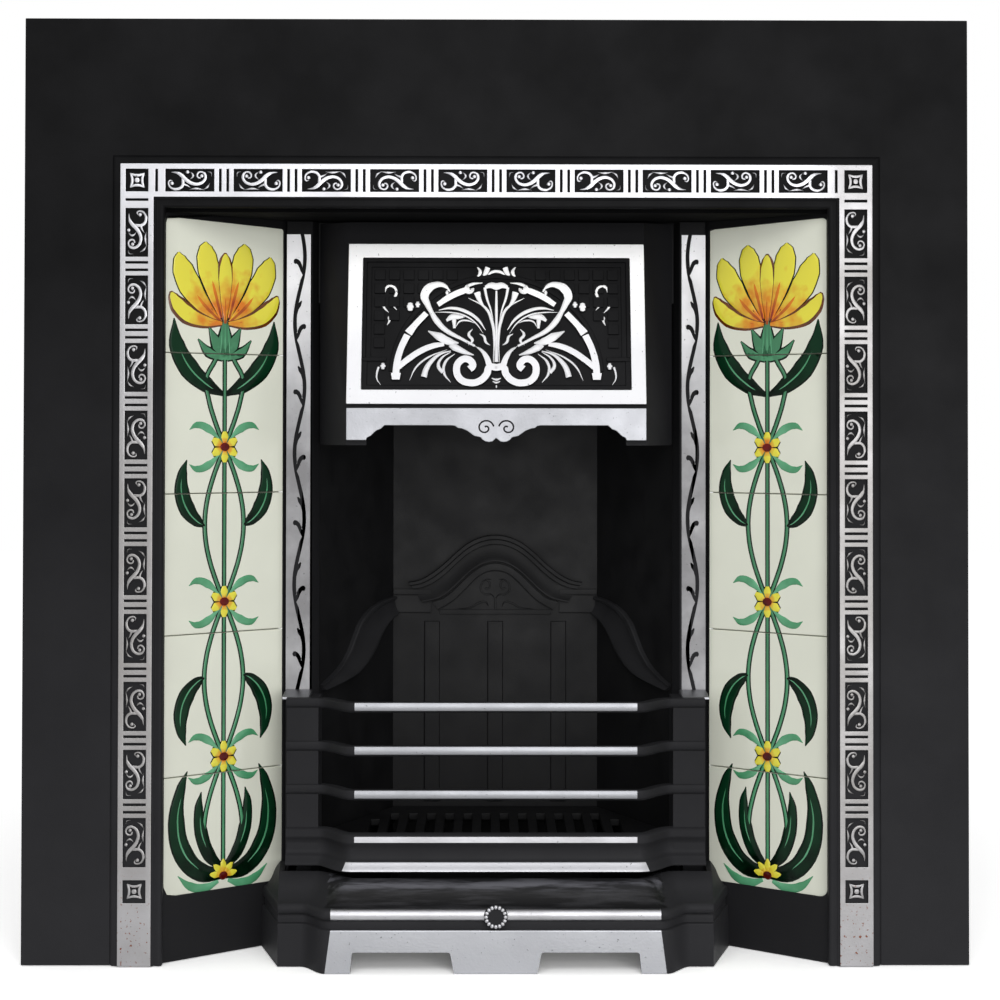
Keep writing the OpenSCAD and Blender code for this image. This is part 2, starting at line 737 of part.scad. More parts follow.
module hood_valance() {
    low = valance_top - valance_h;
    right = concat([for (p = valance_edge) if (p[0] > 0) [p[0], low + p[1]]],
                   [[hood_front_w / 2, low], [hood_front_w / 2, valance_top]]);
    left = [for (i = [len(right) - 1 : -1 : 0]) [-right[i][0], right[i][1]]];
    color(polished) difference() {
        translate([0, hood_knee_y - fit, 0]) rotate([90, 0, 0]) linear_extrude(height = hood_plate_t)
            polygon(concat([[0, low + 2.5]], right, left));
        for (x = [-1, 1])
            rod_y(x * hood_stud_x, hood_knee_y - 4, hood_knee_y + 1, valance_top - 8, stud_r + hole_fit);
    }
}

module hood_bolts() {
    color(steel) {
        for (x = hood_bolt_xs)
            bolt_y(x, header_y + plate_t + small, hood_bolt_z, plate_t + hood_wall + 3);
        for (x = [-1, 1], z = [-1, 1]) hood_panel_place()
            translate([x * hood_stud_x, hood_stud_z + z * hood_stud_dz, -hood_wall - fit]) mirror([0, 0, 1]) {
                cylinder(h = 3, r = stud_r * 2);
                translate([0, 0, -hood_wall - 3]) cylinder(h = hood_wall + 3 + small, r = stud_r);
            }
        for (x = [-1, 1]) {
            rod_y(x * hood_stud_x, hood_knee_y - 3, hood_knee_y + hood_wall + fit + small, valance_top - 8, stud_r);
            rod_y(x * hood_stud_x, hood_knee_y + hood_wall + fit, hood_knee_y + hood_wall + fit + 3, valance_top - 8, stud_r * 2);
        }
    }
}

// ---------- firebox ----------

// Bell shaped line of the moulding on the fireback: x from the middle, height above its foot
function bell(x, half, h) = h * (1 + cos(180 * min(1, abs(x) / half))) / 2;
function bell_band(half, h, t) = concat(
    [for (i = [-16 : 16]) let (x = half * i / 16) [x, bell(x, half, h)]],
    [for (i = [16 : -1 : -16]) let (x = half * i / 16) [x, bell(x, half, h) - t]]);

arch_z = 385;
arch_half = back_w * 0.42;
rib_xs = [-0.62, 0, 0.62];
string_z = arch_z - 38;
back_flange_w = 26;
back_bolt_x = back_half + back_flange_w - 10;
back_bolt_zs = firebox_bolt_zs;

module fireback() {
    color(black) difference() {
        union() {
            box([-back_half - back_flange_w, back_y, 0], [back_half + back_flange_w, back_y + firebox_t, firebox_h]);
            // bell shaped mouldings
            translate([0, back_y + small, arch_z]) rotate([90, 0, 0]) {
                linear_extrude(height = relief_t) polygon(bell_band(arch_half, 56, 11));
                translate([0, -24, 0]) linear_extrude(height = relief_t - 1) polygon(bell_band(arch_half * 0.76, 49, 6));
            }
            // string course below the arch and the ribs of the panelled base
            for (x = [-1, 1]) box([min(x * back_half, x * arch_half * 0.8), back_y - relief_t, string_z],
                                  [max(x * back_half, x * arch_half * 0.8), back_y + small, string_z + 22]);
            box([-arch_half * 0.76, back_y - relief_t + 1, string_z - 1], [arch_half * 0.76, back_y + small, string_z + 4]);
            for (r = rib_xs)
                box([r * back_half - 9, back_y - relief_t + 1.5, ledge_top + 14],
                    [r * back_half + 9, back_y + small, string_z - 6]);
            // ledge for the grate
            box([-back_half + 12, back_y - 10, ledge_top - ledge_h], [back_half - 12, back_y + small, ledge_top]);
        }
        for (side = [-1, 1], z = back_bolt_zs)
            rod_y(side * back_bolt_x, back_y - 1, back_y + firebox_t + 1, z, bolt_r + hole_fit);
    }
}

// Centre line of the swept moulding on a cheek: [along the cheek, height]
cheek_l = norm(cheek_run);
function cheek_curve(t) = [12 + (cheek_l - 18) * t, 262 + 100 * (1 - cos(180 * t)) / 2];

arm_w = 12;
arm_x = post_in - 6;
arm_front = post_y + 24;

module cheek(side) {
    wall = firebox_t - 1;
    back_line = [cheek_half, cheek_front] + wall * cheek_out;
    function back_x(y) = back_line[0] + cheek_run[0] * (y - back_line[1]) / cheek_run[1];
    color(black) on_side(side) difference() {
        union() {
            linear_extrude(height = firebox_h) polygon([
                [cheek_half, cheek_front], [cheek_half + cheek_flange, cheek_front],
                [cheek_half + cheek_flange, cheek_front + plate_t], [back_x(cheek_front + plate_t), cheek_front + plate_t],
                [back_x(cheek_back - plate_t), cheek_back - plate_t], [back_half + back_flange_w, cheek_back - plate_t],
                [back_half + back_flange_w, cheek_back], [back_half, cheek_back]]);
            // ledge and arm that carry the grate
            translate([0, 0, ledge_top - ledge_h]) linear_extrude(height = ledge_h) polygon([
                [cheek_half + 1, cheek_front], [arm_x, cheek_front], [arm_x, arm_front], [arm_x - arm_w, arm_front],
                [arm_x - arm_w, cheek_front], [back_half - 4, back_y - 14], [back_half + 6, back_y - 14]]);
            // S shaped moulding
            translate([cheek_half, cheek_front, 0]) rotate([0, 0, atan2(cheek_run[1], cheek_run[0])])
                translate([0, -small, 0]) rotate([90, 0, 0]) mirror([0, 0, 1]) linear_extrude(height = relief_t)
                    polygon(concat([for (i = [0 : 12]) cheek_curve(i / 12) + [0, 10]],
                                   [for (i = [12 : -1 : 0]) cheek_curve(i / 12) - [0, 10]]));
        }
        for (z = cheek_bolt_zs)
            rod_y(cheek_bolt_x, cheek_front - 1, cheek_front + plate_t + 1, z, bolt_r + hole_fit);
        for (z = back_bolt_zs)
            rod_y(back_bolt_x, cheek_back - plate_t - 1, cheek_back + 1, z, bolt_r + hole_fit);
    }
}

module firebox_bolts() {
    color(steel) for (side = [-1, 1]) {
        for (z = cheek_bolt_zs)
            bolt_y(side * cheek_bolt_x, cheek_front + plate_t + small, z, 2 * plate_t + fit);
        for (z = back_bolt_zs)
            bolt_y(side * back_bolt_x, back_y + firebox_t + small, z, firebox_t + plate_t + fit);
    }
}

module throat_plate() {
    z = firebox_h + fit;
    // outline of the plate, clear of the jambs in front and over the cheeks behind
    front_half = jamb_in - 1;
    color(black) difference() {
        union() {
            translate([0, 0, z]) linear_extrude(height = plate_t - fit) polygon([
                [-front_half, throat_y0], [front_half, throat_y0], [front_half, cheek_front],
                [cheek_x(cheek_front) + 8, cheek_front + 1], [back_half + 14, cheek_back], [back_half + 14, back_y + firebox_t],
                [-back_half - 14, back_y + firebox_t], [-back_half - 14, cheek_back],
                [-cheek_x(cheek_front) - 8, cheek_front + 1], [-front_half, cheek_front]]);
            for (side = [-1, 1]) {
                box([side * ear_x - ear_t / 2, hinge_y - ear_r, z + 1], [side * ear_x + ear_t / 2, hinge_y + ear_r, hinge_z]);
                rod_x(side * ear_x - ear_t / 2, side * ear_x + ear_t / 2, hinge_y, hinge_z, ear_r);
            }
        }
        box([-damper_w / 2 + 5, damper_y0, z - 1], [damper_w / 2 - 5, damper_y0 + damper_d, z + plate_t]);
        rod_x(-ear_x - ear_t, ear_x + ear_t, hinge_y, hinge_z, damper_pin_r + 0.05);
    }
}

module damper_pin() {
    color(steel) rod_x(-ear_x - ear_t / 2 - 4, ear_x + ear_t / 2 + 4, hinge_y, hinge_z, damper_pin_r);
}

knuckle_x = ear_x - ear_t / 2 - 1.5;
knuckle_w = 20;
knuckle_r = damper_pin_r + 3.2;
flap_rib = 6;           // width of the flap's stiffening rib

module damper_flap() {
    z = damper_z;
    color(black) difference() {
        union() {
            box([-damper_w / 2, damper_y0 - 6, z], [damper_w / 2, damper_y0 + damper_d + 1, z + flap_t]);
            // stiffening rib and lug that a poker lifts
            box([-knuckle_x, damper_y0 + damper_d / 2 - flap_rib / 2, z + 1],
                [knuckle_x, damper_y0 + damper_d / 2 + flap_rib / 2, z + flap_t + flap_rib]);
            box([-4, damper_y0 - 4, z + 1], [4, damper_y0 + 12, z + flap_t + 14]);
            for (side = [-1, 1]) on_side(side) {
                box([knuckle_x - knuckle_w, damper_y0 + damper_d - 8, z + 1], [knuckle_x, hinge_y, hinge_z + damper_pin_r]);
                rod_x(knuckle_x - knuckle_w, knuckle_x, hinge_y, hinge_z, knuckle_r);
            }
        }
        rod_x(-ear_x, ear_x, hinge_y, hinge_z, damper_pin_r + 0.08);
        rod_x(-5, 5, damper_y0 + 4, z + flap_t + 8, 3.5);
    }
}

// ---------- fire front ----------

front_left = concat([[-post_out, post_y], [-post_in, post_y]],
                    s_curve([-post_in, post_y], [-bar_half, bar_y], 10), [[-bar_half, bar_y]]);
front_plan = both_sides(front_left);

function bar_bands(z) = [[z - bar_h, -1.4], [z - bar_h + 1, -0.4], [z - bar_h + 2.5, 0], [z - 2.5, -0.4], [z - 1, -1.4], [z, 0]];

apron_in = -8;
function apron_bands(b) = [
    [b, 9], [b + 2, 8], [b + 3.5, 6.8], [b + 5, 5.6], [b + 6.5, 4.4], [b + 8, 3.2], [b + 9.5, 2],
    [b + 11.5, -1], [b + 13, -2.5], [b + 15, -3.3], [b + apron_h - 16, -2.5], [b + apron_h - 13, -0.5],
    [b + apron_h - 10.5, 0.7], [b + apron_h - 8, 0.9], [b + apron_h - 2.5, 0.5], [b + apron_h - 1, -0.6],
    [b + apron_h, 0]];

post_wall = 5;
hook_rib = [hook_z + fit, hook_z + 18];

module fire_front() {
    face = post_y + 3;
    color(black) union() {
        for (i = [0 : bars - 1]) moulding(front_plan, -bar_d, bar_bands(post_top - i * bar_pitch));
        moulding(front_plan, apron_in, apron_bands(apron_low));
        for (side = [-1, 1]) on_side(side) {
            box([post_in, face, apron_low], [post_out, face + post_wall, post_top - 1]);
            box([post_in, face, apron_low], [post_in + post_wall, post_back, post_top - 1]);
            box([post_out - post_wall, face, apron_low], [post_out, post_back, post_top - 1]);
            // cover of the post and the rib that hangs on the lug of the inner frame
            box([post_in, face, post_top - 1 - post_wall], [post_out, post_back, post_top - 1]);
            box([post_in, leg_front - hook_l + 4 + 0.5, hook_rib[0]], [post_out, post_back, hook_rib[1]]);
        }
    }
}

// ---------- grate ----------

function slot_reach(x) = min(back_y - 49, cheek_front + (cheek_half - abs(x) - 26) / -cheek_run[0] * cheek_run[1]);

module bottom_grate() {
    z = grate_top - grate_t;
    row_gap = 11;
    row_mid = 110;
    color(black) difference() {
        translate([0, 0, z]) linear_extrude(height = grate_t) polygon([
            [-cheek_x(back_y - 3) + 4, back_y - 3], [-cheek_x(cheek_front) + 5, cheek_front + 2], [-arm_x - 1, cheek_front - 6],
            [-arm_x - 1, arm_front - 2], [-bar_half + 4, bar_y + 14], [bar_half - 4, bar_y + 14],
            [arm_x + 1, arm_front - 2], [arm_x + 1, cheek_front - 6], [cheek_x(cheek_front) - 5, cheek_front + 2],
            [cheek_x(back_y - 3) - 4, back_y - 3]]);
        for (i = [0 : slots - 1]) {
            x = (i - (slots - 1) / 2) * slot_pitch;
            box([x - slot_w / 2, bar_y + 24, z - 1], [x + slot_w / 2, row_mid - row_gap / 2, grate_top + 1]);
            box([x - slot_w / 2, row_mid + row_gap / 2, z - 1], [x + slot_w / 2, slot_reach(x), grate_top + 1]);
        }
    }
}

// ---------- ash cover ----------

// Plan of the cover at the hearth and at its top edge, moved inwards by g, with its ends moved back
cover_seat = 0.4;
foot_spread = 26.5;     // how far the foot of a pedestal reaches over the side panel
head_spread = 11;
function panel_face_y(x) = panel_out[1] + (panel_out[0] - x) * tan(splay) - cover_seat / cos(splay);
foot_end = [ped_out + foot_spread, panel_face_y(ped_out + foot_spread)];
head_end = [post_out + head_spread, min(leg_front - cover_seat, panel_face_y(post_out + head_spread))];
function foot_plan(g, back) = both_sides(concat(
    [[-foot_end[0] + g, foot_end[1] + back], [-ped_out + g, ped_y + g], [-post_in - 15 + g * 0.5, ped_y + g]],
    s_curve([-post_in - 15 + g * 0.5, ped_y + g], [-cover_half + g * 0.5, -cover_out + g], 8),
    [[-cover_half + g * 0.5, -cover_out + g]]));
function head_plan(g, back) = both_sides(concat(
    [[-head_end[0] + g, head_end[1] + back], [-post_out - 7 + g, post_y - 2 + g], [-post_in + g * 0.5, post_y - 2 + g]],
    s_curve([-post_in + g * 0.5, post_y - 2 + g], [-bar_half + 3 + g * 0.5, cover_top_y + g], 8),
    [[-bar_half + 3 + g * 0.5, cover_top_y + g]]));

function cover_outline(share, g, back) =
    let (a = foot_plan(g, back), b = head_plan(g, back))
    [for (i = [0 : len(a) - 1]) a[i] + share * (b[i] - a[i])];

// Moulded profile of the cover in thin layers: [share of the height, share of the way from foot to head]
cyma_low = 0.725;
cyma_steps = 12;
cover_profile = concat(
    [[0, 0], [0.49, 0.18], [0.54, 0.14], [0.575, 0.17], [0.6, 0.09], [0.62, 0.06], [0.64, neck_share],
     [0.67, 0.06], [0.69, 0.09], [0.705, 0.2]],
    [for (i = [0 : cyma_steps]) let (t = i / cyma_steps)
        [cyma_low + (1 - cyma_low) * t, 0.26 + 0.74 * pow(t + 0.5 / cyma_steps, 1.35)]]);
cover_layers = len(cover_profile) - 1;

fret_leg = [46, cover_half - 26];
knob_z = cover_h * 0.655;
knob_stud_l = 16;
knob_stud_r = 4;
knob_rim = 3.5;

// Steps of the hollow: [height, share of the way from foot to head]
cover_hollow = [[0.49 * cover_h, 0.34], [0.72 * cover_h, 0.55], [0.82 * cover_h, 0.8], [cover_h - cover_t, 1]];

module cover_layer(i) {
    under = i > 0 ? lap : 0;
    translate([0, 0, cover_profile[i][0] * cover_h - under])
        linear_extrude(height = (cover_profile[i + 1][0] - cover_profile[i][0]) * cover_h + under)
            polygon(cover_outline(cover_profile[i][1], 0, 0));
}

module ash_cover() {
    color(black) difference() {
        union() for (i = [0 : cover_layers - 1]) cover_layer(i);
        // hollow behind the wall, whose layers follow those of the face
        union() {
            translate([0, 0, -1]) linear_extrude(height = cover_hollow[0][0] + 1) polygon(cover_outline(0.12, cover_t, 40));
            for (i = [0 : len(cover_hollow) - 2]) translate([0, 0, cover_hollow[i][0] - 0.5])
                linear_extrude(height = cover_hollow[i + 1][0] - cover_hollow[i][0] + 0.5)
                    polygon(cover_outline(cover_hollow[i][1], cover_t, 40));
        }
        // open top behind the ledge
        translate([0, 0, cover_h - cover_t - 1]) linear_extrude(height = cover_t + 3) polygon(head_plan(16, 40));
        for (side = [-1, 1]) on_side(side)
            box([fret_leg[0], -cover_out - 10, -1], [fret_leg[1], -cover_out + 14, fret_gap_h]);
        rod_y(0, front_most, knob_seat + knob_stud_l + 1, knob_z, knob_stud_r + hole_fit);
    }
}

module draw_knob() {
    color(polished) union() {
        difference() {
            rod_y(0, front_most, knob_seat, knob_z, knob_r);
            rod_y(0, front_most - 1, front_most + knob_t / 3, knob_z, knob_r - knob_rim);
            for (i = [0 : knob_notches - 1]) translate([0, front_most, knob_z]) rotate([0, i * 360 / knob_notches + 15, 0])
                translate([knob_r - knob_rim - 0.5, -1, -0.6]) cube([knob_rim + 3, 2, 1.2]);
        }
        rod_y(0, knob_seat - 1, knob_seat + knob_stud_l, knob_z, knob_stud_r);
    }
}

// ---------- ash pan ----------

ear_out = 8;

module ash_pan() {
    color(steel) difference() {
        union() {
            difference() {
                box([-pan_w / 2, pan_front, 0], [pan_w / 2, pan_back, pan_h]);
                box([-pan_w / 2 + pan_t, pan_front + pan_t, pan_t], [pan_w / 2 - pan_t, pan_back - pan_t, pan_h + 1]);
            }
            for (side = [-1, 1]) on_side(side)
                box([handle_half + 2.5, handle_y - 4, handle_z - 5], [handle_half + 5.5, pan_front + small, handle_z + 5]);
        }
        rod_x(-handle_half - ear_out, handle_half + ear_out, handle_y, handle_z, handle_r + 0.08);
    }
}

module ash_pan_handle() {
    color(steel) union() {
        for (side = [-1, 1]) on_side(side) {
            rod_x(handle_half - handle_r, handle_half + ear_out - 0.5, handle_y, handle_z, handle_r);
            translate([handle_half, handle_y, handle_z - handle_drop]) cylinder(h = handle_drop, r = handle_r);
            translate([handle_half, handle_y, handle_z - handle_drop]) sphere(r = handle_r);
        }
        rod_x(-handle_half, handle_half, handle_y, handle_z - handle_drop, handle_r);
    }
}

// ---------- fixings ----------

module fixing_lugs(side) {
    y0 = lug_seat;
    color(steel) on_side(side) for (end = [-1, 1]) {
        z = lug_mid_z + end * lug_spacing / 2;
        difference() {
            union() {
                box([lug_x - lug_leg, y0, z - lug_w / 2], [lug_x, y0 + lug_t, z + lug_w / 2]);
                box([lug_x - lug_t, y0, z - lug_w / 2], [lug_x, y0 + lug_d, z + lug_w / 2]);
            }
            rod_y(lug_bolt_x, y0 - 1, y0 + lug_t + 1, z, bolt_r + hole_fit);
            rod_x(lug_x - lug_t - 1, lug_x + 1, lug_hole_y, z, lug_hole_r);
        }
    }
}

module lug_bolts() {
    color(steel) for (side = [-1, 1], end = [-1, 1])
        bolt_y(side * lug_bolt_x, lug_seat + lug_t + small, lug_mid_z + end * lug_spacing / 2, lug_seat + lug_t - 3);
}

module frame_bolts() {
    shank = plate_t + fit - frame_hole_y - 1;
    color(steel) {
        for (side = [-1, 1], z = frame_bolt_zs)
            bolt_y(side * frame_bolt_x, plate_t + fit + plate_t + small, z, plate_t + shank);
        for (x = soffit_bolt_xs)
            bolt_y(x, plate_t + fit + soffit_t + small, soffit_bolt_z, soffit_t + shank);
        for (side = [-1, 1], z = panel_bolt_zs)
            bolt_y(side * panel_bolt_x, panel_in[1] + plate_t + small, z, plate_t + fit + plate_t - 3);
    }
}

// ---------- assembly ----------

module placed() {
    translate([0, -mid_y, 0]) children();
}

placed() front_frame();
placed() soffit_panel();
placed() side_panel(-1);  // side_panel_left
placed() side_panel(1);  // side_panel_right
placed() inner_frame();
placed() wall_tile(-1, 1);  // tile_left_1
placed() wall_tile(-1, 2);  // tile_left_2
placed() wall_tile(-1, 3);  // tile_left_3
placed() wall_tile(-1, 4);  // tile_left_4
placed() wall_tile(-1, 5);  // tile_left_5
placed() wall_tile(1, 1);  // tile_right_1
placed() wall_tile(1, 2);  // tile_right_2
placed() wall_tile(1, 3);  // tile_right_3
placed() wall_tile(1, 4);  // tile_right_4
placed() wall_tile(1, 5);  // tile_right_5
placed() tile_backing(-1);  // tile_backing_left
placed() tile_backing(1);  // tile_backing_right
placed() tile_clamps(-1);  // tile_clamps_left
placed() tile_clamps(1);  // tile_clamps_right
placed() tile_clamp_screws();
placed() hood_shell();
placed() hood_panel();
placed() hood_valance();
placed() hood_bolts();
placed() fireback();
placed() cheek(-1);  // cheek_left
placed() cheek(1);  // cheek_right
placed() firebox_bolts();
placed() throat_plate();
placed() damper_pin();
placed() damper_flap();
placed() fire_front();
placed() bottom_grate();
placed() ash_cover();
placed() draw_knob();
placed() ash_pan();
placed() ash_pan_handle();
placed() fixing_lugs(-1);  // fixing_lugs_left
placed() fixing_lugs(1);  // fixing_lugs_right
placed() lug_bolts();
placed() frame_bolts();
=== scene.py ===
"""Dresses the cast iron fireplace: black castings, polished scrollwork, glazed tiles, a plain stage and a camera."""

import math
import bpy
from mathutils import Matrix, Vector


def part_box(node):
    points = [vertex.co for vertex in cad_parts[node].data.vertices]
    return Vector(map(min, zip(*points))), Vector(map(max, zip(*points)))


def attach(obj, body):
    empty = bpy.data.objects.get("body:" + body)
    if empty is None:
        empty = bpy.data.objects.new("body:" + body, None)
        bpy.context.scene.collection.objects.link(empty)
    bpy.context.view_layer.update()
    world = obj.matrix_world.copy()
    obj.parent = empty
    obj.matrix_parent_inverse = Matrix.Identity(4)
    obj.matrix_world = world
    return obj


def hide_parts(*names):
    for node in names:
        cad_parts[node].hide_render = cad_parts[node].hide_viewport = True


bl_info = {
    "name": "Tiled cast iron fireplace",
    "version": (1, 0, 0),
    "blender": (4, 5, 0),
    "location": "3D View > Sidebar > Fireplace",
    "description": "Dresses a square cast iron fireplace with its castings, scrollwork, tiles and stage",
    "category": "Object",
}

import bmesh
import bpy
import numpy as np
from mathutils import Matrix, Vector

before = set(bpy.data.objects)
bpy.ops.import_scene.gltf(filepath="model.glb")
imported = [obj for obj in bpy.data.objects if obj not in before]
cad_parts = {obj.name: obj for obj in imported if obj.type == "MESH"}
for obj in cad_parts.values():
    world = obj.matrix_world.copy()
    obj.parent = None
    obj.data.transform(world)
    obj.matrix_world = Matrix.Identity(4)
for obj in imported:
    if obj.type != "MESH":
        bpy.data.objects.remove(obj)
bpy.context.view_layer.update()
MM = 0.001
BAND_PROUD = 7.0      # how far the border stands in front of the plate, mm
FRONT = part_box("front_frame")[0].y + BAND_PROUD * MM      # front face of the plate


# ---------- colours ----------

def rgb(code):
    """Turns an sRGB hex colour into the linear one that a shader takes."""
    parts = [int(code[i:i + 2], 16) / 255 for i in (1, 3, 5)]
    return tuple(p / 12.92 if p <= 0.04045 else ((p + 0.055) / 1.055) ** 2.4 for p in parts)


def rgba(colour):
    """Adds full opacity to a colour, given as hex or as three linear numbers."""
    return (*(rgb(colour) if isinstance(colour, str) else tuple(colour)), 1.0)


class FireplaceColours(bpy.types.PropertyGroup):
    """Colours of the fireplace's finishes"""

    black: bpy.props.FloatVectorProperty(
        name="Black", description="Cast iron under its graphite polish", subtype="COLOR", default=rgb("#0d0d0e"))
    bright: bpy.props.FloatVectorProperty(
        name="Bright iron", description="Iron where it is ground and buffed", subtype="COLOR", default=rgb("#aeaeb2"))
    satin: bpy.props.FloatVectorProperty(
        name="Satin iron", description="Iron rubbed bright with emery and left unbuffed", subtype="COLOR",
        default=rgb("#98999d"))
    dull: bpy.props.FloatVectorProperty(
        name="Dull iron", description="Buffed iron that has greyed near the fire", subtype="COLOR",
        default=rgb("#7b7978"))
    cream: bpy.props.FloatVectorProperty(
        name="Cream glaze", description="Ground colour of the tiles", subtype="COLOR", default=rgb("#e6e8d9"))
    stem: bpy.props.FloatVectorProperty(
        name="Stem glaze", description="Mid green of the stems and buds", subtype="COLOR", default=rgb("#4a9468"))
    leaf: bpy.props.FloatVectorProperty(
        name="Leaf glaze", description="Deep green of the large leaves", subtype="COLOR", default=rgb("#0e3a22"))
    pale: bpy.props.FloatVectorProperty(
        name="Pale leaf glaze", description="Light green of the small leaves", subtype="COLOR", default=rgb("#66ae84"))
    petal: bpy.props.FloatVectorProperty(
        name="Petal glaze", description="Yellow at the tips of the petals", subtype="COLOR", default=rgb("#e8de44"))
    ember: bpy.props.FloatVectorProperty(
        name="Petal foot glaze", description="Orange at the feet of the petals", subtype="COLOR",
        default=rgb("#dc7a12"))


class FireplaceSizes(bpy.types.PropertyGroup):
    """Sizes of the fireplace's surface work"""

    casting_edge: bpy.props.FloatProperty(
        name="Casting edge", description="Width of the rounding on a casting's edges", unit="LENGTH",
        default=0.8 * MM, min=0.2 * MM, max=2 * MM)
    border_relief: bpy.props.FloatProperty(
        name="Border relief", description="Height of the scrolls in the border's pockets", unit="LENGTH",
        default=3.2 * MM, min=1 * MM, max=4 * MM)
    hood_relief: bpy.props.FloatProperty(
        name="Hood relief", description="Height of the scrollwork on the hood", unit="LENGTH",
        default=5 * MM, min=2 * MM, max=7 * MM)
    vine_width: bpy.props.FloatProperty(
        name="Vine width", description="Width of the vine cut into each pilaster strip", unit="LENGTH",
        default=4.2 * MM, min=2 * MM, max=5 * MM)
    glaze_relief: bpy.props.FloatProperty(
        name="Glaze relief", description="Height of the raised colours on the tiles", unit="LENGTH",
        default=0.9 * MM, min=0.3 * MM, max=2 * MM)


# ---------- helpers for modelling ----------

def pick(*pieces):
    """Goes to object mode and selects only these pieces, the first one active."""
    if bpy.context.mode != "OBJECT":
        bpy.ops.object.mode_set(mode="OBJECT")
    bpy.ops.object.select_all(action="DESELECT")
    for piece in pieces:
        piece.select_set(True)
    bpy.context.view_layer.objects.active = pieces[0]
    return pieces[0]


def spot(x, y, z):
    """A point given in millimetres from the foot of the plate's front face."""
    return Vector((x * MM, FRONT + y * MM, z * MM))


def seat(origin, across=(1, 0, 0), up=(0, 0, 1)):
    """Matrix that lays millimetres across, up and out of a face into the row frame."""
    u, v = Vector(across).normalized(), Vector(up).normalized()
    place = Matrix((u, v, u.cross(v))).transposed().to_4x4() @ Matrix.Scale(MM, 4)
    place.translation = spot(*origin)
    return place


def add_object(name, data):
    """Links a new object that holds the data."""
    piece = bpy.data.objects.new(name, data)
    bpy.context.scene.collection.objects.link(piece)
    return piece


def join(name, pieces):
    """Joins pieces into one object."""
    pick(*pieces)
    if len(pieces) > 1:
        bpy.ops.object.join()
    piece = bpy.context.view_layer.objects.active
    piece.name = piece.data.name = name
    return piece


def start_from(name, primitive, **settings):
    """Adds a primitive to shape a piece from, with nothing else selected."""
    bpy.ops.object.select_all(action="DESELECT")
    primitive(**settings)
    piece = bpy.context.view_layer.objects.active
    piece.name = piece.data.name = name
    return piece


def modify(piece, kind, **settings):
    """Adds a modifier with its settings and applies it."""
    pick(piece)
    modifier = piece.modifiers.new(kind.lower(), kind)
    for key, value in settings.items():
        setattr(modifier, key, value)
    bpy.ops.object.modifier_apply(modifier=modifier.name)
    return piece


def smooth(piece, angle=32):
    """Smooth shading that keeps edges sharper than the angle."""
    pick(piece)
    bpy.ops.object.shade_smooth_by_angle(angle=math.radians(angle))
    return piece


def round_edges(piece, width, segments=2):
    """Rounds the edges that turn by more than 35 degrees."""
    modify(piece, "BEVEL", width=width, segments=segments, limit_method="ANGLE", angle_limit=math.radians(35),
           use_clamp_overlap=False)
    return smooth(piece)


def in_mm(point):
    """A point of a mesh in mm on the plate."""
    return Vector((point.x / MM, (point.y - FRONT) / MM, point.z / MM))


def reshape(piece, shape):
    """Opens a piece's mesh, lets a function shape it, and turns every face outwards again."""
    mesh = bmesh.new()
    mesh.from_mesh(piece.data)
    shape(mesh)
    bmesh.ops.recalc_face_normals(mesh, faces=mesh.faces)
    mesh.to_mesh(piece.data)
    mesh.free()
    return piece


def soften(node, name, width=None, segments=2, shape=None):
    """Copies a CAD solid, merges its flat faces, shapes it further and rounds its edges, as a sand casting has them."""
    piece = add_object(name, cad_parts[node].data.copy())
    piece.data.materials.clear()
    pick(piece)
    bpy.ops.mesh.customdata_custom_splitnormals_clear()
    bpy.ops.object.mode_set(mode="EDIT")
    bpy.ops.mesh.select_all(action="SELECT")
    bpy.ops.mesh.remove_doubles(threshold=0.002 * MM)
    bpy.ops.mesh.dissolve_limited(angle_limit=math.radians(0.3))
    bpy.ops.object.mode_set(mode="OBJECT")
    if shape:
        reshape(piece, shape)
    return round_edges(piece, sizes().casting_edge if width is None else width * MM, segments)


def heal(mesh):
    """Fills what is open in a mesh."""
    bmesh.ops.holes_fill(mesh, edges=[e for e in mesh.edges if e.is_boundary])


def planed(test):
    """Shaping that takes off the relief whose points in mm pass the test, and heals the face below it."""
    def shape(mesh):
        proud = [f for f in mesh.faces if any(test(in_mm(v.co)) for v in f.verts)]
        bmesh.ops.delete(mesh, geom=proud, context="FACES")
        heal(mesh)
    return shape


def score(piece, point, normal):
    """Adds a line across a piece, in a plane through a point in mm, where its finish is to change."""
    def shape(mesh):
        bmesh.ops.bisect_plane(mesh, geom=mesh.verts[:] + mesh.edges[:] + mesh.faces[:], dist=0.0001 * MM,
                               plane_co=spot(*point), plane_no=Vector(normal).normalized())
    return reshape(piece, shape)


def move(piece, place):
    """Moves a piece's mesh onto its place, and turns it right side out where that mirrors it."""
    piece.data.transform(place)
    if place.to_3x3().determinant() < 0:
        piece.data.flip_normals()
    return piece


def stamp(name, source, places):
    """Copies a piece to each place, and joins them all."""
    copies = [move(add_object(name, source.data.copy()), place) for place in places]
    bpy.data.objects.remove(source)
    return join(name, copies)


def swell(count, half, kind="both"):
    """Half widths along a stroke of so many points: even, or thinning to its start, its end or both."""
    widths = []
    for i in range(count):
        t = i / (count - 1)
        share = {"even": 1.0, "end": 1 - 0.86 * t ** 1.6, "start": 1 - 0.86 * (1 - t) ** 1.6,
                 "both": 0.16 + 0.84 * math.sin(math.pi * t) ** 0.75,
                 "leaf": 0.1 + 0.9 * math.sin(math.pi * t ** 0.72) ** 0.9}[kind]
        widths.append(half * share)
    return widths


def stroke(points, half, kind="both"):
    """A stroke through points, with its half width in mm and the way it swells."""
    return points, swell(len(points), half, kind)


def ball(u, v, r):
    """A round knob of radius r."""
    steps = [(-1, 0.25), (-0.8, 0.62), (-0.45, 0.9), (0, 1), (0.45, 0.9), (0.8, 0.62), (1, 0.25)]
    return [(u + s * r, v) for s, _ in steps], [r * share for _, share in steps]


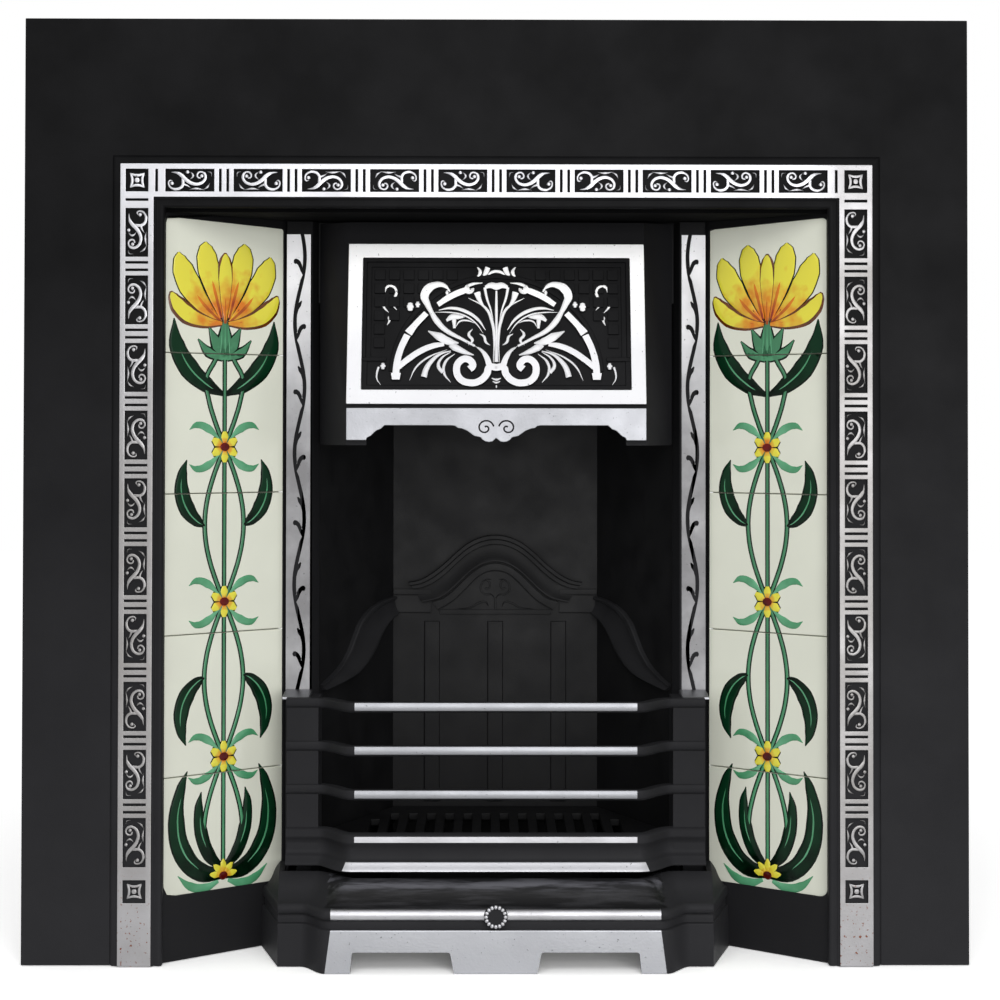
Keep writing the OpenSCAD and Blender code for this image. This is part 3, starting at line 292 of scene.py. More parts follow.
def mirrored(lines):
    """Strokes and their mirror image across the middle."""
    return lines + [([(-u, v) for u, v in points], widths) for points, widths in lines]


SUNK = 0.3            # how far a relief is let into the face that carries it, mm
LEAST_WIDTH = 0.12    # half width that no stroke gets thinner than, mm
LEVEL = 0.001         # what counts as level with the face, mm


def draw(name, lines, tall, steep=1.2, turns=4, ring=2):
    """Cast relief drawn as strokes in mm: rounded on top, at most so tall, with its flat back let into the face."""
    curve = bpy.data.curves.new(name, "CURVE")
    curve.dimensions, curve.twist_mode = "3D", "Z_UP"
    curve.bevel_depth, curve.bevel_resolution = 1.0, ring
    curve.resolution_u, curve.use_fill_caps = turns, True
    for points, widths in lines:
        spline = curve.splines.new("BEZIER")
        spline.bezier_points.add(len(points) - 1)
        for knot, (u, v), width in zip(spline.bezier_points, points, widths):
            knot.co = (u, v, 0)
            knot.handle_left_type = knot.handle_right_type = "AUTO"
            knot.radius = max(width, LEAST_WIDTH)
    pick(add_object(name, curve))
    bpy.ops.object.convert(target="MESH")
    piece = bpy.context.view_layer.objects.active
    for vertex in piece.data.vertices:
        z = vertex.co.z
        vertex.co.z = tall * math.tanh(steep * z / tall) if z > LEVEL else (0 if z > -LEVEL else -SUNK)
    return close(piece, 0.0001)


def close(piece, near):
    """Merges doubled points, fills what is open and turns every face outwards."""
    def shape(mesh):
        bmesh.ops.remove_doubles(mesh, verts=mesh.verts, dist=near)
        heal(mesh)
    return reshape(piece, shape)


def bolder(lines, share):
    """The same strokes, wider by a share."""
    return [(points, [w * share for w in widths]) for points, widths in lines]


def grade(piece, lines):
    """Writes how far along its stroke each point of a relief lies, for glazes that change from foot to tip."""
    marks, shares = [], []
    for points, _ in lines:
        last = len(points) - 1
        for i, ((u0, v0), (u1, v1)) in enumerate(zip(points, points[1:])):
            for t in (0, 0.25, 0.5, 0.75):
                marks.append((u0 + (u1 - u0) * t, v0 + (v1 - v0) * t))
                shares.append((i + t) / last)
        marks.append(points[-1])
        shares.append(1.0)
    marks = np.array(marks)
    flat = np.array([v.co[:2] for v in piece.data.vertices])
    near = [int(((marks - p) ** 2).sum(axis=1).argmin()) for p in flat]
    layer = piece.data.attributes.new("along", "FLOAT", "POINT")
    layer.data.foreach_set("value", [shares[i] for i in near])
    return piece


def lay(piece, place):
    """Moves a relief from its drawing onto its place."""
    return smooth(move(piece, place), 50)


def loft(name, rings):
    """Skins closed rings of points, in mm on the plate, one after another, and caps both ends."""
    count, around = len(rings), len(rings[0])
    piece = start_from(name, bpy.ops.mesh.primitive_grid_add, x_subdivisions=count - 1, y_subdivisions=around, size=2)
    for vertex in piece.data.vertices:
        i = round((vertex.co.x + 1) / 2 * (count - 1))
        j = round((vertex.co.y + 1) / 2 * around) % around
        vertex.co = spot(*rings[i][j])
    return close(piece, 0.001 * MM)


def flow(points):
    """A smooth line through points, with three more between each two."""
    line, last = [], len(points) - 1
    for i in range(last):
        a, b, c, d = (Vector(points[min(max(k, 0), last)]) for k in (i - 1, i, i + 1, i + 2))
        for t in (0, 0.25, 0.5, 0.75):
            bend, turn = a * 2 - b * 5 + c * 4 - d, b * 3 - a - c * 3 + d
            line.append((b * 2 + (c - a) * t + bend * t * t + turn * t ** 3) / 2)
    return line + [Vector(points[-1])]


def band(name, outer, inner, profile, place):
    """A moulding between two edge lines: profile gives (share of the way from outer to inner, height), and place
    turns (along, up, height) into a point in mm on the plate."""
    rings = []
    for a, b in zip(flow(outer), flow(inner)):
        rings.append([place(*a.lerp(b, share), high) for share, high in profile])
    return smooth(loft(name, rings), 30)


def plate(name, outlines, thick, edge):
    """Flat plates cut to outlines in mm, with softened edges, drawn lying flat."""
    curve = bpy.data.curves.new(name, "CURVE")
    curve.dimensions, curve.fill_mode = "2D", "BOTH"
    # the soft edge is taken off the outline, so that the plate keeps its size
    curve.extrude, curve.bevel_depth, curve.bevel_resolution, curve.offset = thick / 2 - edge, edge, 1, -edge
    for outline in outlines:
        spline = curve.splines.new("POLY")
        spline.points.add(len(outline) - 1)
        for knot, (u, v) in zip(spline.points, outline):
            knot.co = (u, v, 0, 1)
        spline.use_cyclic_u = True
    pick(add_object(name, curve))
    bpy.ops.object.convert(target="MESH")
    return close(bpy.context.view_layer.objects.active, 0.002)


def block(name, low, high, width=0.8):
    """A plain bar between two corners in mm, with its edges rounded."""
    a, b = spot(*low), spot(*high)
    piece = start_from(name, bpy.ops.mesh.primitive_cube_add, size=1)
    piece.data.transform(Matrix.LocRotScale((a + b) / 2, None, b - a))
    return round_edges(piece, width * MM)


def cut(piece, cutter):
    """Cuts one piece out of another and removes the cutter."""
    modify(piece, "BOOLEAN", operation="DIFFERENCE", object=cutter, solver="EXACT", use_self=True)
    bpy.data.objects.remove(cutter)
    return piece


def faces_take(piece, materials, choose):
    """Gives each face one of the materials: choose gets its middle in mm and its normal."""
    piece.data.materials.clear()
    for material in materials:
        piece.data.materials.append(material)
    for face in piece.data.polygons:
        face.material_index = choose(in_mm(face.center), face.normal)
    return piece


def coat(piece, material):
    """Gives a whole piece one material."""
    piece.data.materials.clear()
    piece.data.materials.append(material)
    return piece


def seat_on(piece, body, slot, *nodes):
    """Makes a finished piece ride on its body and stand for CAD nodes; the slot is not used. Its wide faces keep their
    own shading, so that only the rounded edges between them blend."""
    modify(piece, "WEIGHTED_NORMAL", keep_sharp=True, weight=80)
    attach(piece, body)
    if nodes:
        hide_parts(*nodes)
    return piece


def recast(node, name, material, body, slot, width=None, shape=None):
    """Makes a piece of one material that stands for a CAD solid, with its edges softened."""
    return seat_on(coat(soften(node, name, width, shape=shape), material), body, slot, node)


def buff(piece, away, top, shoulder, bright):
    """Bright on top, half bright on the shoulders and black on the flanks: top and shoulder say how far a face may
    lean from the way out, as a cosine. The half bright shoulders are partly painted shade."""
    return faces_take(piece, [black_iron(), half_bright_iron(), bright],
                      lambda middle, normal: 2 if normal.dot(away) > top else int(normal.dot(away) > shoulder))


def front_of(node):
    """Front of a CAD node, in mm behind the plate's face."""
    return (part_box(node)[0].y - FRONT) / MM


def finish_node(node, material):
    """Gives a CAD solid that stays its real finish."""
    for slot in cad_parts[node].material_slots:
        slot.link = "OBJECT"
        slot.material = material


def sizes():
    """The sizes that a user sets."""
    return bpy.context.scene.fireplace_sizes


def colours():
    """The colours that a user sets."""
    return bpy.context.scene.fireplace_colours


# ---------- materials ----------

def connect(tree, node, inputs):
    """Links a node's inputs or sets them. A colour is given as hex or as three linear numbers."""
    for key, value in inputs.items():
        socket = node.inputs[key]
        if isinstance(value, bpy.types.NodeSocket):
            tree.links.new(value, socket)
        else:
            socket.default_value = rgba(value) if socket.type == "RGBA" else value
    return node


def add(tree, kind, inputs=None, **settings):
    """Adds a shader node with its settings, values and links. Its inputs go by name or by number. MapRange numbers
    them as value, low, high, and what low and high become; Mix as share, and the two colours as 6 and 7."""
    node = tree.nodes.new("ShaderNode" + kind)
    for key, value in settings.items():
        setattr(node, key, value)
    return connect(tree, node, inputs or {})


def per(mm):
    """Noise scale for a feature of this size."""
    return 1000 / mm


def shade(colour, times):
    """A colour so many times as bright."""
    return [part * times for part in colour]


def start_material(name):
    """An empty material with a principled shader: returns the material, its tree, shader and object coordinates."""
    material = bpy.data.materials.new(name)
    material.use_nodes = True
    tree = material.node_tree
    shader = tree.nodes["Principled BSDF"]
    return material, tree, shader, add(tree, "TexCoord").outputs["Object"]


def grained(tree, place, wide, strength):
    """The normal of cast iron: a sand grain 0.3 mm high and so many mm wide."""
    grain = add(tree, "TexNoise", {"Vector": place, "Scale": per(wide), "Detail": 3.0}).outputs[0]
    return add(tree, "Bump", {"Strength": strength, "Distance": 0.3 * MM, "Height": grain}).outputs[0]


def made_once(make):
    """Keeps each material that a function makes, so that pieces share it."""
    made = {}

    def get(*key):
        if key not in made:
            made[key] = make(*key)
        return made[key]
    return get


@made_once
def black_iron(kind="graphite_polished"):
    """Sand-cast iron rubbed with graphite polish: a fine grain under a soft dark sheen, smeared by the cloth. It is
    painted lighter towards the hearth, a painted reflection of the white floor, and its matt kind darker, as painted
    shade."""
    # brightness at the head and at its lightest towards the hearth, where the painted floor reflection is strongest,
    # roughness between smears and on them, and sheen
    # the kinds are copies of one black: one with less of the painted floor reflection, for the side panels; a lighter
    # grey one, as painted light on the shaded hood canopy; and a matt one, darkened as painted shade
    polished, worn, dull, rubbed, sheen = {
        "graphite_polished": (1.0, 7.6, 0.54, 0.42, 0.05), "half_polished": (1.0, 4.6, 0.54, 0.42, 0.05),
        "brushed_grey": (2.8, 7.6, 0.54, 0.42, 0.05), "unrubbed": (0.5, 1.0, 0.9, 0.8, 0.03)}[kind]
    black = colours().black
    material, tree, shader, place = start_material(kind + "_cast_iron")
    smear = add(tree, "TexNoise", {"Vector": place, "Scale": per(90), "Detail": 4.0, "Roughness": 0.6}).outputs[0]
    # painted reflection: the black is lighter towards the hearth, as the white floor would show in it, and lighter in
    # random patches
    height = add(tree, "SeparateXYZ", {0: place}).outputs["Z"]
    low = add(tree, "MapRange", {0: height, 1: 0.75, 2: 0.0, 3: 0.0, 4: 0.85}).outputs[0]
    patchy = add(tree, "MapRange", {0: smear, 1: 0.3, 2: 0.7, 3: 0.0, 4: 0.15}).outputs[0]
    thin = add(tree, "Math", {0: low, 1: patchy}, operation="ADD").outputs[0]
    connect(tree, shader, {
        "Base Color": add(tree, "Mix", {0: thin, 6: shade(black, polished), 7: shade(black, worn)},
                          data_type="RGBA").outputs[2],
        "Roughness": add(tree, "MapRange", {0: smear, 1: 0.35, 2: 0.7, 3: dull, 4: rubbed}).outputs[0],
        "Specular IOR Level": sheen,
        # sand grain is about 0.3 mm wide, drawn three times coarser so that it shows
        "Normal": grained(tree, place, 1.0, 0.35)})
    return material


@made_once
def painted_sheen_iron():
    """The black casting of the ash cover's ledge, with a closer sheen, and painted sheen: lighter streaks and a band
    along its swell.
    """
    black = colours().black
    material, tree, shader, place = start_material("black_iron_painted_sheen")
    stretched = add(tree, "Mapping", {"Vector": place, "Scale": (0.12, 1.0, 1.0)}).outputs[0]
    streak = add(tree, "TexNoise", {"Vector": stretched, "Scale": per(9), "Detail": 4.0, "Roughness": 0.6}).outputs[0]
    # painted highlight: a lighter band along the swell of the ledge, broken into streaks
    height = add(tree, "SeparateXYZ", {0: place}).outputs["Z"]
    rise = add(tree, "MapRange", {0: height, 1: 0.080, 2: 0.086}).outputs[0]
    fall = add(tree, "MapRange", {0: height, 1: 0.093, 2: 0.088}).outputs[0]
    painted_highlight_band = add(tree, "Math", {0: rise, 1: fall}, operation="MULTIPLY").outputs[0]
    patchy = add(tree, "MapRange", {0: streak, 1: 0.40, 2: 0.60, 3: 0.1, 4: 1.0}).outputs[0]
    bare = add(tree, "Math", {0: painted_highlight_band, 1: patchy}, operation="MULTIPLY").outputs[0]
    # painted sheen: long streaks of black up to nine times as light
    light = add(tree, "MapRange", {0: streak, 1: 0.45, 2: 0.68}).outputs[0]
    rubbed = add(tree, "Mix", {0: light, 6: shade(black, 1.8), 7: shade(black, 9.0)}, data_type="RGBA").outputs[2]
    connect(tree, shader, {
        "Base Color": add(tree, "Mix", {0: bare, 6: rubbed, 7: "#606066"}, data_type="RGBA").outputs[2],
        "Roughness": add(tree, "MapRange", {0: streak, 1: 0.38, 2: 0.66, 3: 0.42, 4: 0.22}).outputs[0],
        "Specular IOR Level": 0.17, "Normal": grained(tree, place, 1.2, 0.4)})
    return material


@made_once
def polished_iron(kind="buffed"):
    """Iron ground bright on a wheel. Buffing makes it shine, most on the apron's foot strip, and emery leaves it satin
    or dulled. The border and the strips by the fire grey towards the hearth, and the hood's frame is pale, its head
    painted whiter as painted light against the soffit's shade."""
    c = colours()
    # colour where it is bright and where it is worn (on the frame, its foot, below the painted light of its head),
    # roughness on bright clouds and on dull ones, and metal
    first, last, fine, coarse, metal = {
        "buffed": (c.bright, c.dull, 0.32, 0.44, 1.0), "greyed": (c.bright, c.dull, 0.34, 0.46, 1.0),
        "mirror": (shade(c.bright, 1.5), c.bright, 0.32, 0.44, 1.0),
        "satin": (c.satin, shade(c.satin, 0.72), 0.34, 0.48, 1.0),
        "dulled": (shade(c.satin, 0.8), shade(c.satin, 0.6), 0.34, 0.48, 1.0),
        "strip": ("#f0f0f3", "#7e7d7f", 0.5, 0.62, 0.15), "frame": ("#ffffff", "#e6e6e9", 0.5, 0.6, 0.12)}[kind]
    material, tree, shader, place = start_material(kind + "_iron")
    cloud = add(tree, "TexNoise", {"Vector": place, "Scale": per(60), "Detail": 4.0, "Roughness": 0.55}).outputs[0]
    speck = add(tree, "TexNoise", {"Vector": place, "Scale": per(2.6), "Detail": 2.0}).outputs[0]
    split = add(tree, "SeparateXYZ", {0: place})
    across, height = split.outputs["X"], split.outputs["Z"]
    if kind == "frame":
        # painted light: the frame's head is whiter than its foot, against the shade of the soffit over it
        worn = add(tree, "MapRange", {0: height, 1: 0.735, 2: 0.66}).outputs[0]
    elif kind in ("greyed", "strip"):
        # the legs grey towards the hearth, and the right one is duller at its head than the left one
        right_leg = add(tree, "MapRange", {0: across, 1: 0.33, 2: 0.37, 3: 0.0, 4: 0.2}).outputs[0]
        level = add(tree, "Math", {0: height, 1: right_leg}, operation="SUBTRACT").outputs[0]
        head = 0.86 if kind == "greyed" else 0.80
        low = add(tree, "MapRange", {0: level, 1: head, 2: 0.54, 3: -0.06, 4: 0.92}).outputs[0]
        patchy = add(tree, "MapRange", {0: cloud, 1: 0.3, 2: 0.75, 3: -0.14, 4: 0.2}).outputs[0]
        mottled = add(tree, "Math", {0: low, 1: patchy}, operation="ADD").outputs[0]
        # lighter again at the very foot
        lighter_foot = add(tree, "MapRange", {0: height, 1: 0.16, 2: 0.06, 3: 0.0, 4: 0.34}).outputs[0]
        worn = add(tree, "Math", {0: mottled, 1: lighter_foot}, operation="SUBTRACT", use_clamp=True).outputs[0]
    else:
        worn = add(tree, "MapRange", {0: cloud, 1: 0.3, 2: 0.75, 3: 0.05, 4: 0.5}).outputs[0]
    pits = add(tree, "MapRange", {0: speck, 1: 0.70, 2: 0.76, 3: 0.0, 4: 0.8}).outputs[0]
    clean = add(tree, "Mix", {0: worn, 6: first, 7: last}, data_type="RGBA").outputs[2]
    shine = add(tree, "Mix", {0: pits, 6: clean, 7: "#4a4a4c"}, data_type="RGBA").outputs[2]
    if kind == "greyed":
        # rust starts in pinholes, and only where the hearth keeps it damp
        spots = add(tree, "TexNoise", {"Vector": place, "Scale": per(3.4), "Detail": 3.0}).outputs[0]
        pinholes = add(tree, "MapRange", {0: spots, 1: 0.635, 2: 0.66}).outputs[0]
        damp = add(tree, "MapRange", {0: height, 1: 0.12, 2: 0.03}).outputs[0]
        rust = add(tree, "Math", {0: pinholes, 1: damp}, operation="MULTIPLY").outputs[0]
        shine = add(tree, "Mix", {0: rust, 6: shine, 7: "#6b3a26"}, data_type="RGBA").outputs[2]
    connect(tree, shader, {
        "Base Color": shine, "Metallic": metal,
        "Roughness": add(tree, "MapRange", {0: cloud, 1: 0.3, 2: 0.7, 3: fine, 4: coarse}).outputs[0],
        "Normal": add(tree, "Bump", {"Strength": 0.3, "Distance": 0.4 * MM, "Height": speck}).outputs[0]})
    return material


@made_once
def half_bright_iron():
    """Flanks that the buffing wheel only brushed: dark metal between the black ground and the bright top, and partly
    painted shade on the relief's shoulders.
    """
    material, tree, shader, place = start_material("half_buffed_and_shaded_iron")
    cloud = add(tree, "TexNoise", {"Vector": place, "Scale": per(6), "Detail": 3.0}).outputs[0]
    brushed = add(tree, "MapRange", {0: cloud, 1: 0.35, 2: 0.65}).outputs[0]
    connect(tree, shader, {
        "Base Color": add(tree, "Mix", {0: brushed, 6: "#3c3c3f", 7: "#77777b"}, data_type="RGBA").outputs[2],
        "Metallic": 1.0, "Roughness": add(tree, "MapRange", {0: cloud, 1: 0.3, 2: 0.7, 3: 0.36, 4: 0.5}).outputs[0]})
    return material


@made_once
def black_steel():
    """Thin pressed steel coloured black, as painted shade in the gap above the ash cover: matt, and a little cloudy."""
    material, tree, shader, place = start_material("black_steel_as_painted_shade")
    cloud = add(tree, "TexNoise", {"Vector": place, "Scale": per(30), "Detail": 4.0}).outputs[0]
    connect(tree, shader, {
        "Base Color": add(tree, "Mix", {0: cloud, 6: "#101011", 7: "#1c1c1d"}, data_type="RGBA").outputs[2],
        "Roughness": add(tree, "MapRange", {0: cloud, 1: 0.3, 2: 0.7, 3: 0.5, 4: 0.62}).outputs[0],
        "Specular IOR Level": 0.25})
    return material


@made_once
def glaze(kind):
    """Glossy earthenware glaze over a raised outline: it pools darker where it is thick and shines all over."""
    c = colours()
    # each glaze runs from one colour at the foot of a stroke to another at its tip
    first, last = {
        "cream": (c.cream, shade(c.cream, 0.96)), "stem": (c.stem, shade(c.stem, 0.7)),
        "leaf": (shade(c.leaf, 0.1), shade(c.leaf, 0.7)), "pale": (c.pale, c.stem), "petal": (c.ember, c.petal),
        "ember": ("#8e2a0c", c.ember), "red": ("#6e1210", "#3a0a08"), "line": ("#0c1c11", "#07120b"),
        "edge": ("#6e3a0c", "#4a2208")}[kind]
    material, tree, shader, place = start_material("earthenware_glaze_" + kind)
    size = per(60 if kind == "cream" else 16)
    pool = add(tree, "TexNoise", {"Vector": place, "Scale": size, "Detail": 2.0}).outputs[0]
    if kind in ("cream", "red", "line", "edge"):
        share = add(tree, "MapRange", {0: pool, 1: 0.35, 2: 0.68}).outputs[0]
    else:
        along = add(tree, "Attribute", attribute_name="along").outputs["Fac"]
        uneven = add(tree, "MapRange", {0: pool, 1: 0.3, 2: 0.7, 3: -0.16, 4: 0.16}).outputs[0]
        reach = add(tree, "Math", {0: along, 1: uneven}, operation="ADD").outputs[0]
        share = add(tree, "MapRange", {0: reach, 1: 0.05, 2: 0.42 if kind == "petal" else 0.62}).outputs[0]
    # fired glaze ripples over about 9 mm
    ripple = add(tree, "TexNoise", {"Vector": place, "Scale": per(9), "Detail": 1.0}).outputs[0]
    connect(tree, shader, {
        "Base Color": add(tree, "Mix", {0: share, 6: first, 7: last}, data_type="RGBA").outputs[2],
        "Roughness": 0.14,
        # the deep colours drink the light that the pale ones throw back
        "Specular IOR Level": {"leaf": 0.1, "line": 0.1, "red": 0.15}.get(kind, 0.35),
        "Normal": add(tree, "Bump", {"Strength": 0.12, "Distance": 0.4 * MM, "Height": ripple}).outputs[0]})
    return material


@made_once
def backing_board():
    """Pressed mineral board: matt, grey, and slightly fibrous."""
    material, tree, shader, place = start_material("pressed_mineral_board")
    fibre = add(tree, "TexNoise", {"Vector": place, "Scale": per(4), "Detail": 5.0}).outputs[0]
    connect(tree, shader, {
        "Base Color": add(tree, "Mix", {0: fibre, 6: "#8f8b82", 7: "#a8a499"}, data_type="RGBA").outputs[2],
        "Roughness": 0.9,
        "Normal": add(tree, "Bump", {"Strength": 0.4, "Distance": 0.4 * MM, "Height": fibre}).outputs[0]})
    return material


@made_once
def zinc_steel():
    """Zinc plated steel: a dull grey metal whose plating has large soft spangles."""
    material, tree, shader, place = start_material("zinc_plated_steel")
    spangle = add(tree, "TexVoronoi", {"Vector": place, "Scale": per(7)}).outputs["Color"]
    tone = add(tree, "SeparateXYZ", {0: spangle}).outputs["X"]
    connect(tree, shader, {
        "Base Color": add(tree, "Mix", {0: tone, 6: "#7b7d80", 7: "#979a9d"}, data_type="RGBA").outputs[2],
        "Metallic": 1.0, "Roughness": add(tree, "MapRange", {0: tone, 3: 0.38, 4: 0.5}).outputs[0]})
    return material


@made_once
def sooted_iron(kind="bare"):
    """Cast iron inside the firebox: the same black, dry and matt from heat. A lighter copy paints light on the cheeks'
    raised S mouldings.
    """
    thin, thick = {"bare": (1.0, 2.1), "dusty": (3.2, 5.4)}[kind]
    black = colours().black
    material, tree, shader, place = start_material("heat_dulled_cast_iron_" + kind)
    scale = add(tree, "TexNoise", {"Vector": place, "Scale": per(35), "Detail": 5.0}).outputs[0]
    connect(tree, shader, {
        "Base Color": add(tree, "Mix", {0: scale, 6: shade(black, thin), 7: shade(black, thick)},
                          data_type="RGBA").outputs[2],
        "Roughness": add(tree, "MapRange", {0: scale, 1: 0.3, 2: 0.7, 3: 0.5, 4: 0.66}).outputs[0],
        "Specular IOR Level": 0.17, "Normal": grained(tree, place, 1.2, 0.4)})
    return material


# ---------- stage ----------

CAMERA_PLACE = (-9, -2094, 572)          # in mm
CAMERA_PITCH, CAMERA_YAW, CAMERA_ROLL = math.radians(0.91), math.radians(0.35), math.radians(0.08)
SENSOR, LENS, SHIFT = 36.0, 70.1, -0.10
FLOOR_SIZE, FLOOR_SUNK = 14, 0.0006      # in metres: it lies a little low, so that it doesn't cut the plate's foot
FLOOR_GLOW, WORLD_LIGHT = 1.3, 0.42
# each lamp's name, its place and target in mm, its width and height in metres, and its power in watts
LAMPS = (("high_softbox", (-250, -2100, 2000), (0, 0, 400), (2.4, 1.0), 20),
         ("front_softbox", (600, -2700, 600), (0, 0, 300), (2.2, 1.6), 43))


class FIREPLACE_OT_stage(bpy.types.Operator):
    """Pale floor, soft lights, the world and the camera"""

    bl_idname = "fireplace.stage"
    bl_label = "Stage"

    def execute(self, context):
        scene = context.scene
        scene.view_settings.view_transform = "Standard"
        self.floor()
        self.world(scene)
        for lamp in LAMPS:
            self.lamp(*lamp)
        self.camera(scene)
        return {"FINISHED"}

    def floor(self):
        floor = start_from("floor", bpy.ops.mesh.primitive_plane_add, size=1)
        floor.data.transform(Matrix.LocRotScale((0, 0, -FLOOR_SUNK), None, (FLOOR_SIZE, FLOOR_SIZE, 1)))
        material, tree, _, place = start_material("matt_white_floor")
        # white to the eye but for the soft shadow of the fireplace, and a plain pale floor to every other ray
        seen = self.seen(tree)
        tone = add(tree, "Mix", {0: seen, 6: "#a4a4a4", 7: (1.95, 1.95, 1.95)}, data_type="RGBA").outputs[2]
        lit = add(tree, "BsdfDiffuse", {"Color": tone}).outputs[0]
        glow = add(tree, "Emission", {"Color": "#ffffff", "Strength": FLOOR_GLOW}).outputs[0]
        # past the shadow's reach it runs into the white of the backdrop
        far = add(tree, "VectorMath", {0: place}, operation="LENGTH").outputs["Value"]
        fade = add(tree, "MapRange", {0: far, 1: 0.7, 2: 1.6, 3: 0.06, 4: 0.5}).outputs[0]
        share = add(tree, "Math", {0: seen, 1: fade}, operation="MULTIPLY").outputs[0]
        mix = add(tree, "MixShader", {0: share, 1: lit, 2: glow}).outputs[0]
        connect(tree, tree.nodes["Material Output"], {"Surface": mix})
        coat(floor, material)

    def seen(self, tree):
        """1 for rays from the camera and for those that metal or glass sends on."""
        path = add(tree, "LightPath")
        first = add(tree, "Math", {0: path.outputs["Is Camera Ray"], 1: path.outputs["Is Glossy Ray"]},
                    operation="MAXIMUM").outputs[0]
        return add(tree, "Math", {0: first, 1: path.outputs["Is Transmission Ray"]}, operation="MAXIMUM").outputs[0]

    def world(self, scene):
        """White where it is seen, and softer where it only lights."""
        world = bpy.data.worlds.new("white_studio")
        scene.world = world
        world.use_nodes = True
        tree = world.node_tree
        strength = add(tree, "MapRange", {0: self.seen(tree), 3: WORLD_LIGHT, 4: 1.0}).outputs[0]
        connect(tree, tree.nodes["Background"], {"Color": "#ffffff", "Strength": strength})

    def lamp(self, name, place, target, size, power):
        light = bpy.data.lights.new(name, "AREA")
        light.shape, light.size, light.size_y, light.energy = "RECTANGLE", size[0], size[1], power
        place = spot(*place)
        turn = (spot(*target) - place).to_track_quat("-Z", "Y")
        add_object(name, light).matrix_world = Matrix.LocRotScale(place, turn, None)

    def camera(self, scene):
        """Stands in front of the fireplace, turned by the three angles."""
        sp, cp = math.sin(CAMERA_PITCH), math.cos(CAMERA_PITCH)
        sy, cy = math.sin(CAMERA_YAW), math.cos(CAMERA_YAW)
        ahead = Vector((sy * cp, cy * cp, sp))
        right = Vector((cy, -sy, 0))
        up = right.cross(ahead)
        c, s = math.cos(CAMERA_ROLL), math.sin(CAMERA_ROLL)
        across, top = right * c + up * s, up * c - right * s
        lens = bpy.data.cameras.new("camera")
        lens.sensor_width, lens.lens, lens.shift_y = SENSOR, LENS, SHIFT
        camera = add_object("camera", lens)
        turn = Matrix((across, top, -ahead)).transposed()
        camera.matrix_world = Matrix.Translation(spot(*CAMERA_PLACE)) @ turn.to_4x4()
        scene.camera = camera


# ---------- surround ----------

BAND_Y = -7.0                     # front face of the border band
POCKET_Y = -3.5                   # floor of its pockets
BAND_X, BAND_Z = 386.0, 840.6     # middle of its legs and of its head
TOP_PITCH, SIDE_PITCH, POCKETS = 73.2, 72.46, 10
SIDE_TOP = 820.6                  # head of the first pocket in a leg
LOW_CORNER_Z = 80.0

SPLAY = math.radians(36)          # of the side panels
PANEL_OUT = (360.0, 6.3)          # outer edge of a panel's face: across and back
PANEL_ALONG = Vector((math.cos(SPLAY), -math.sin(SPLAY)))
WINDOW_Z = (70.0, 798.6)          # foot and head of a window for tiles
WINDOW_ENDS = (4, 150)            # its ends, along the panel from its outer edge
WINDOW_RADII = (9.0, 3.0)         # of its lower and its upper corners
HEAD_RISE = 5                     # how much higher its head is at the outer end


class FIREPLACE_OT_surround(bpy.types.Operator):
    """Front plate with its polished band, the soffit, the splayed side panels and the inner frame"""

    bl_idname = "fireplace.surround"
    bl_label = "Surround"

    def execute(self, context):
        plate = soften("front_frame", "front_plate")

        def band(middle, normal):
            bright = middle.y < BAND_Y + 0.45 and normal.y < -0.3
            return 1 if bright else 0
        faces_take(plate, [black_iron(), polished_iron("greyed")], band)
        seat_on(plate, "surround", "black_iron", "front_frame")
        # a flange behind the soffit closes the joint to the header
        flange = block("flange", (-240, 86, 807.6), (240, 113, 811), 0.5)
        soffit = join("soffit_casting", [soften("soffit_panel", "soffit"), flange])
        # the soffit's underside takes the matt black, darkened as painted shade
        seat_on(coat(soffit, black_iron("unrubbed")), "surround", "black_iron", "soffit_panel")
        for node in ("side_panel_left", "side_panel_right"):
            # the side panels take the copy with less of the painted floor reflection
            recast(node, node + "_casting", black_iron("half_polished"), "surround", "black_iron",
                   shape=self.window_corners)
        recast("inner_frame", "inner_frame_casting", black_iron(), "surround", "black_iron")
        return {"FINISHED"}

    def window_corners(self, mesh):
        """The corners of a window for tiles are rounded, the lower ones more, and its head rises to its outer end."""
        behind = Vector((math.sin(SPLAY), math.cos(SPLAY), 0))

        def place(vertex):
            """A vertex in mm, as on the right panel."""
            point = in_mm(vertex.co)
            point.x = abs(point.x)
            return point

        def along(point):
            return (Vector(PANEL_OUT) - point.xy).dot(PANEL_ALONG)
        for z, radius in zip(WINDOW_Z, WINDOW_RADII):
            corners = []
            for edge in mesh.edges:
                a, b = place(edge.verts[0]), place(edge.verts[1])
                middle = (a + b) / 2
                runs_back = (a - b).length > 1 and abs((a - b).normalized().dot(behind)) > 0.99
                off_end = min(abs(along(middle) - end) for end in WINDOW_ENDS)
                if runs_back and abs(middle.z - z) < 0.5 and off_end < 1.5:
                    corners.append(edge)
            bmesh.ops.bevel(mesh, geom=corners, offset=radius * MM, segments=5, profile=0.5, affect="EDGES",
                            clamp_overlap=False)
        near, far = WINDOW_ENDS
        for vertex in mesh.verts:
            point = place(vertex)
            down = along(point)
            if WINDOW_Z[1] - 13.6 < point.z < WINDOW_Z[1] + 0.9 and near - 1 < down < far + 1:
                vertex.co.z += HEAD_RISE * MM * (1 - (down - near) / (far - near))


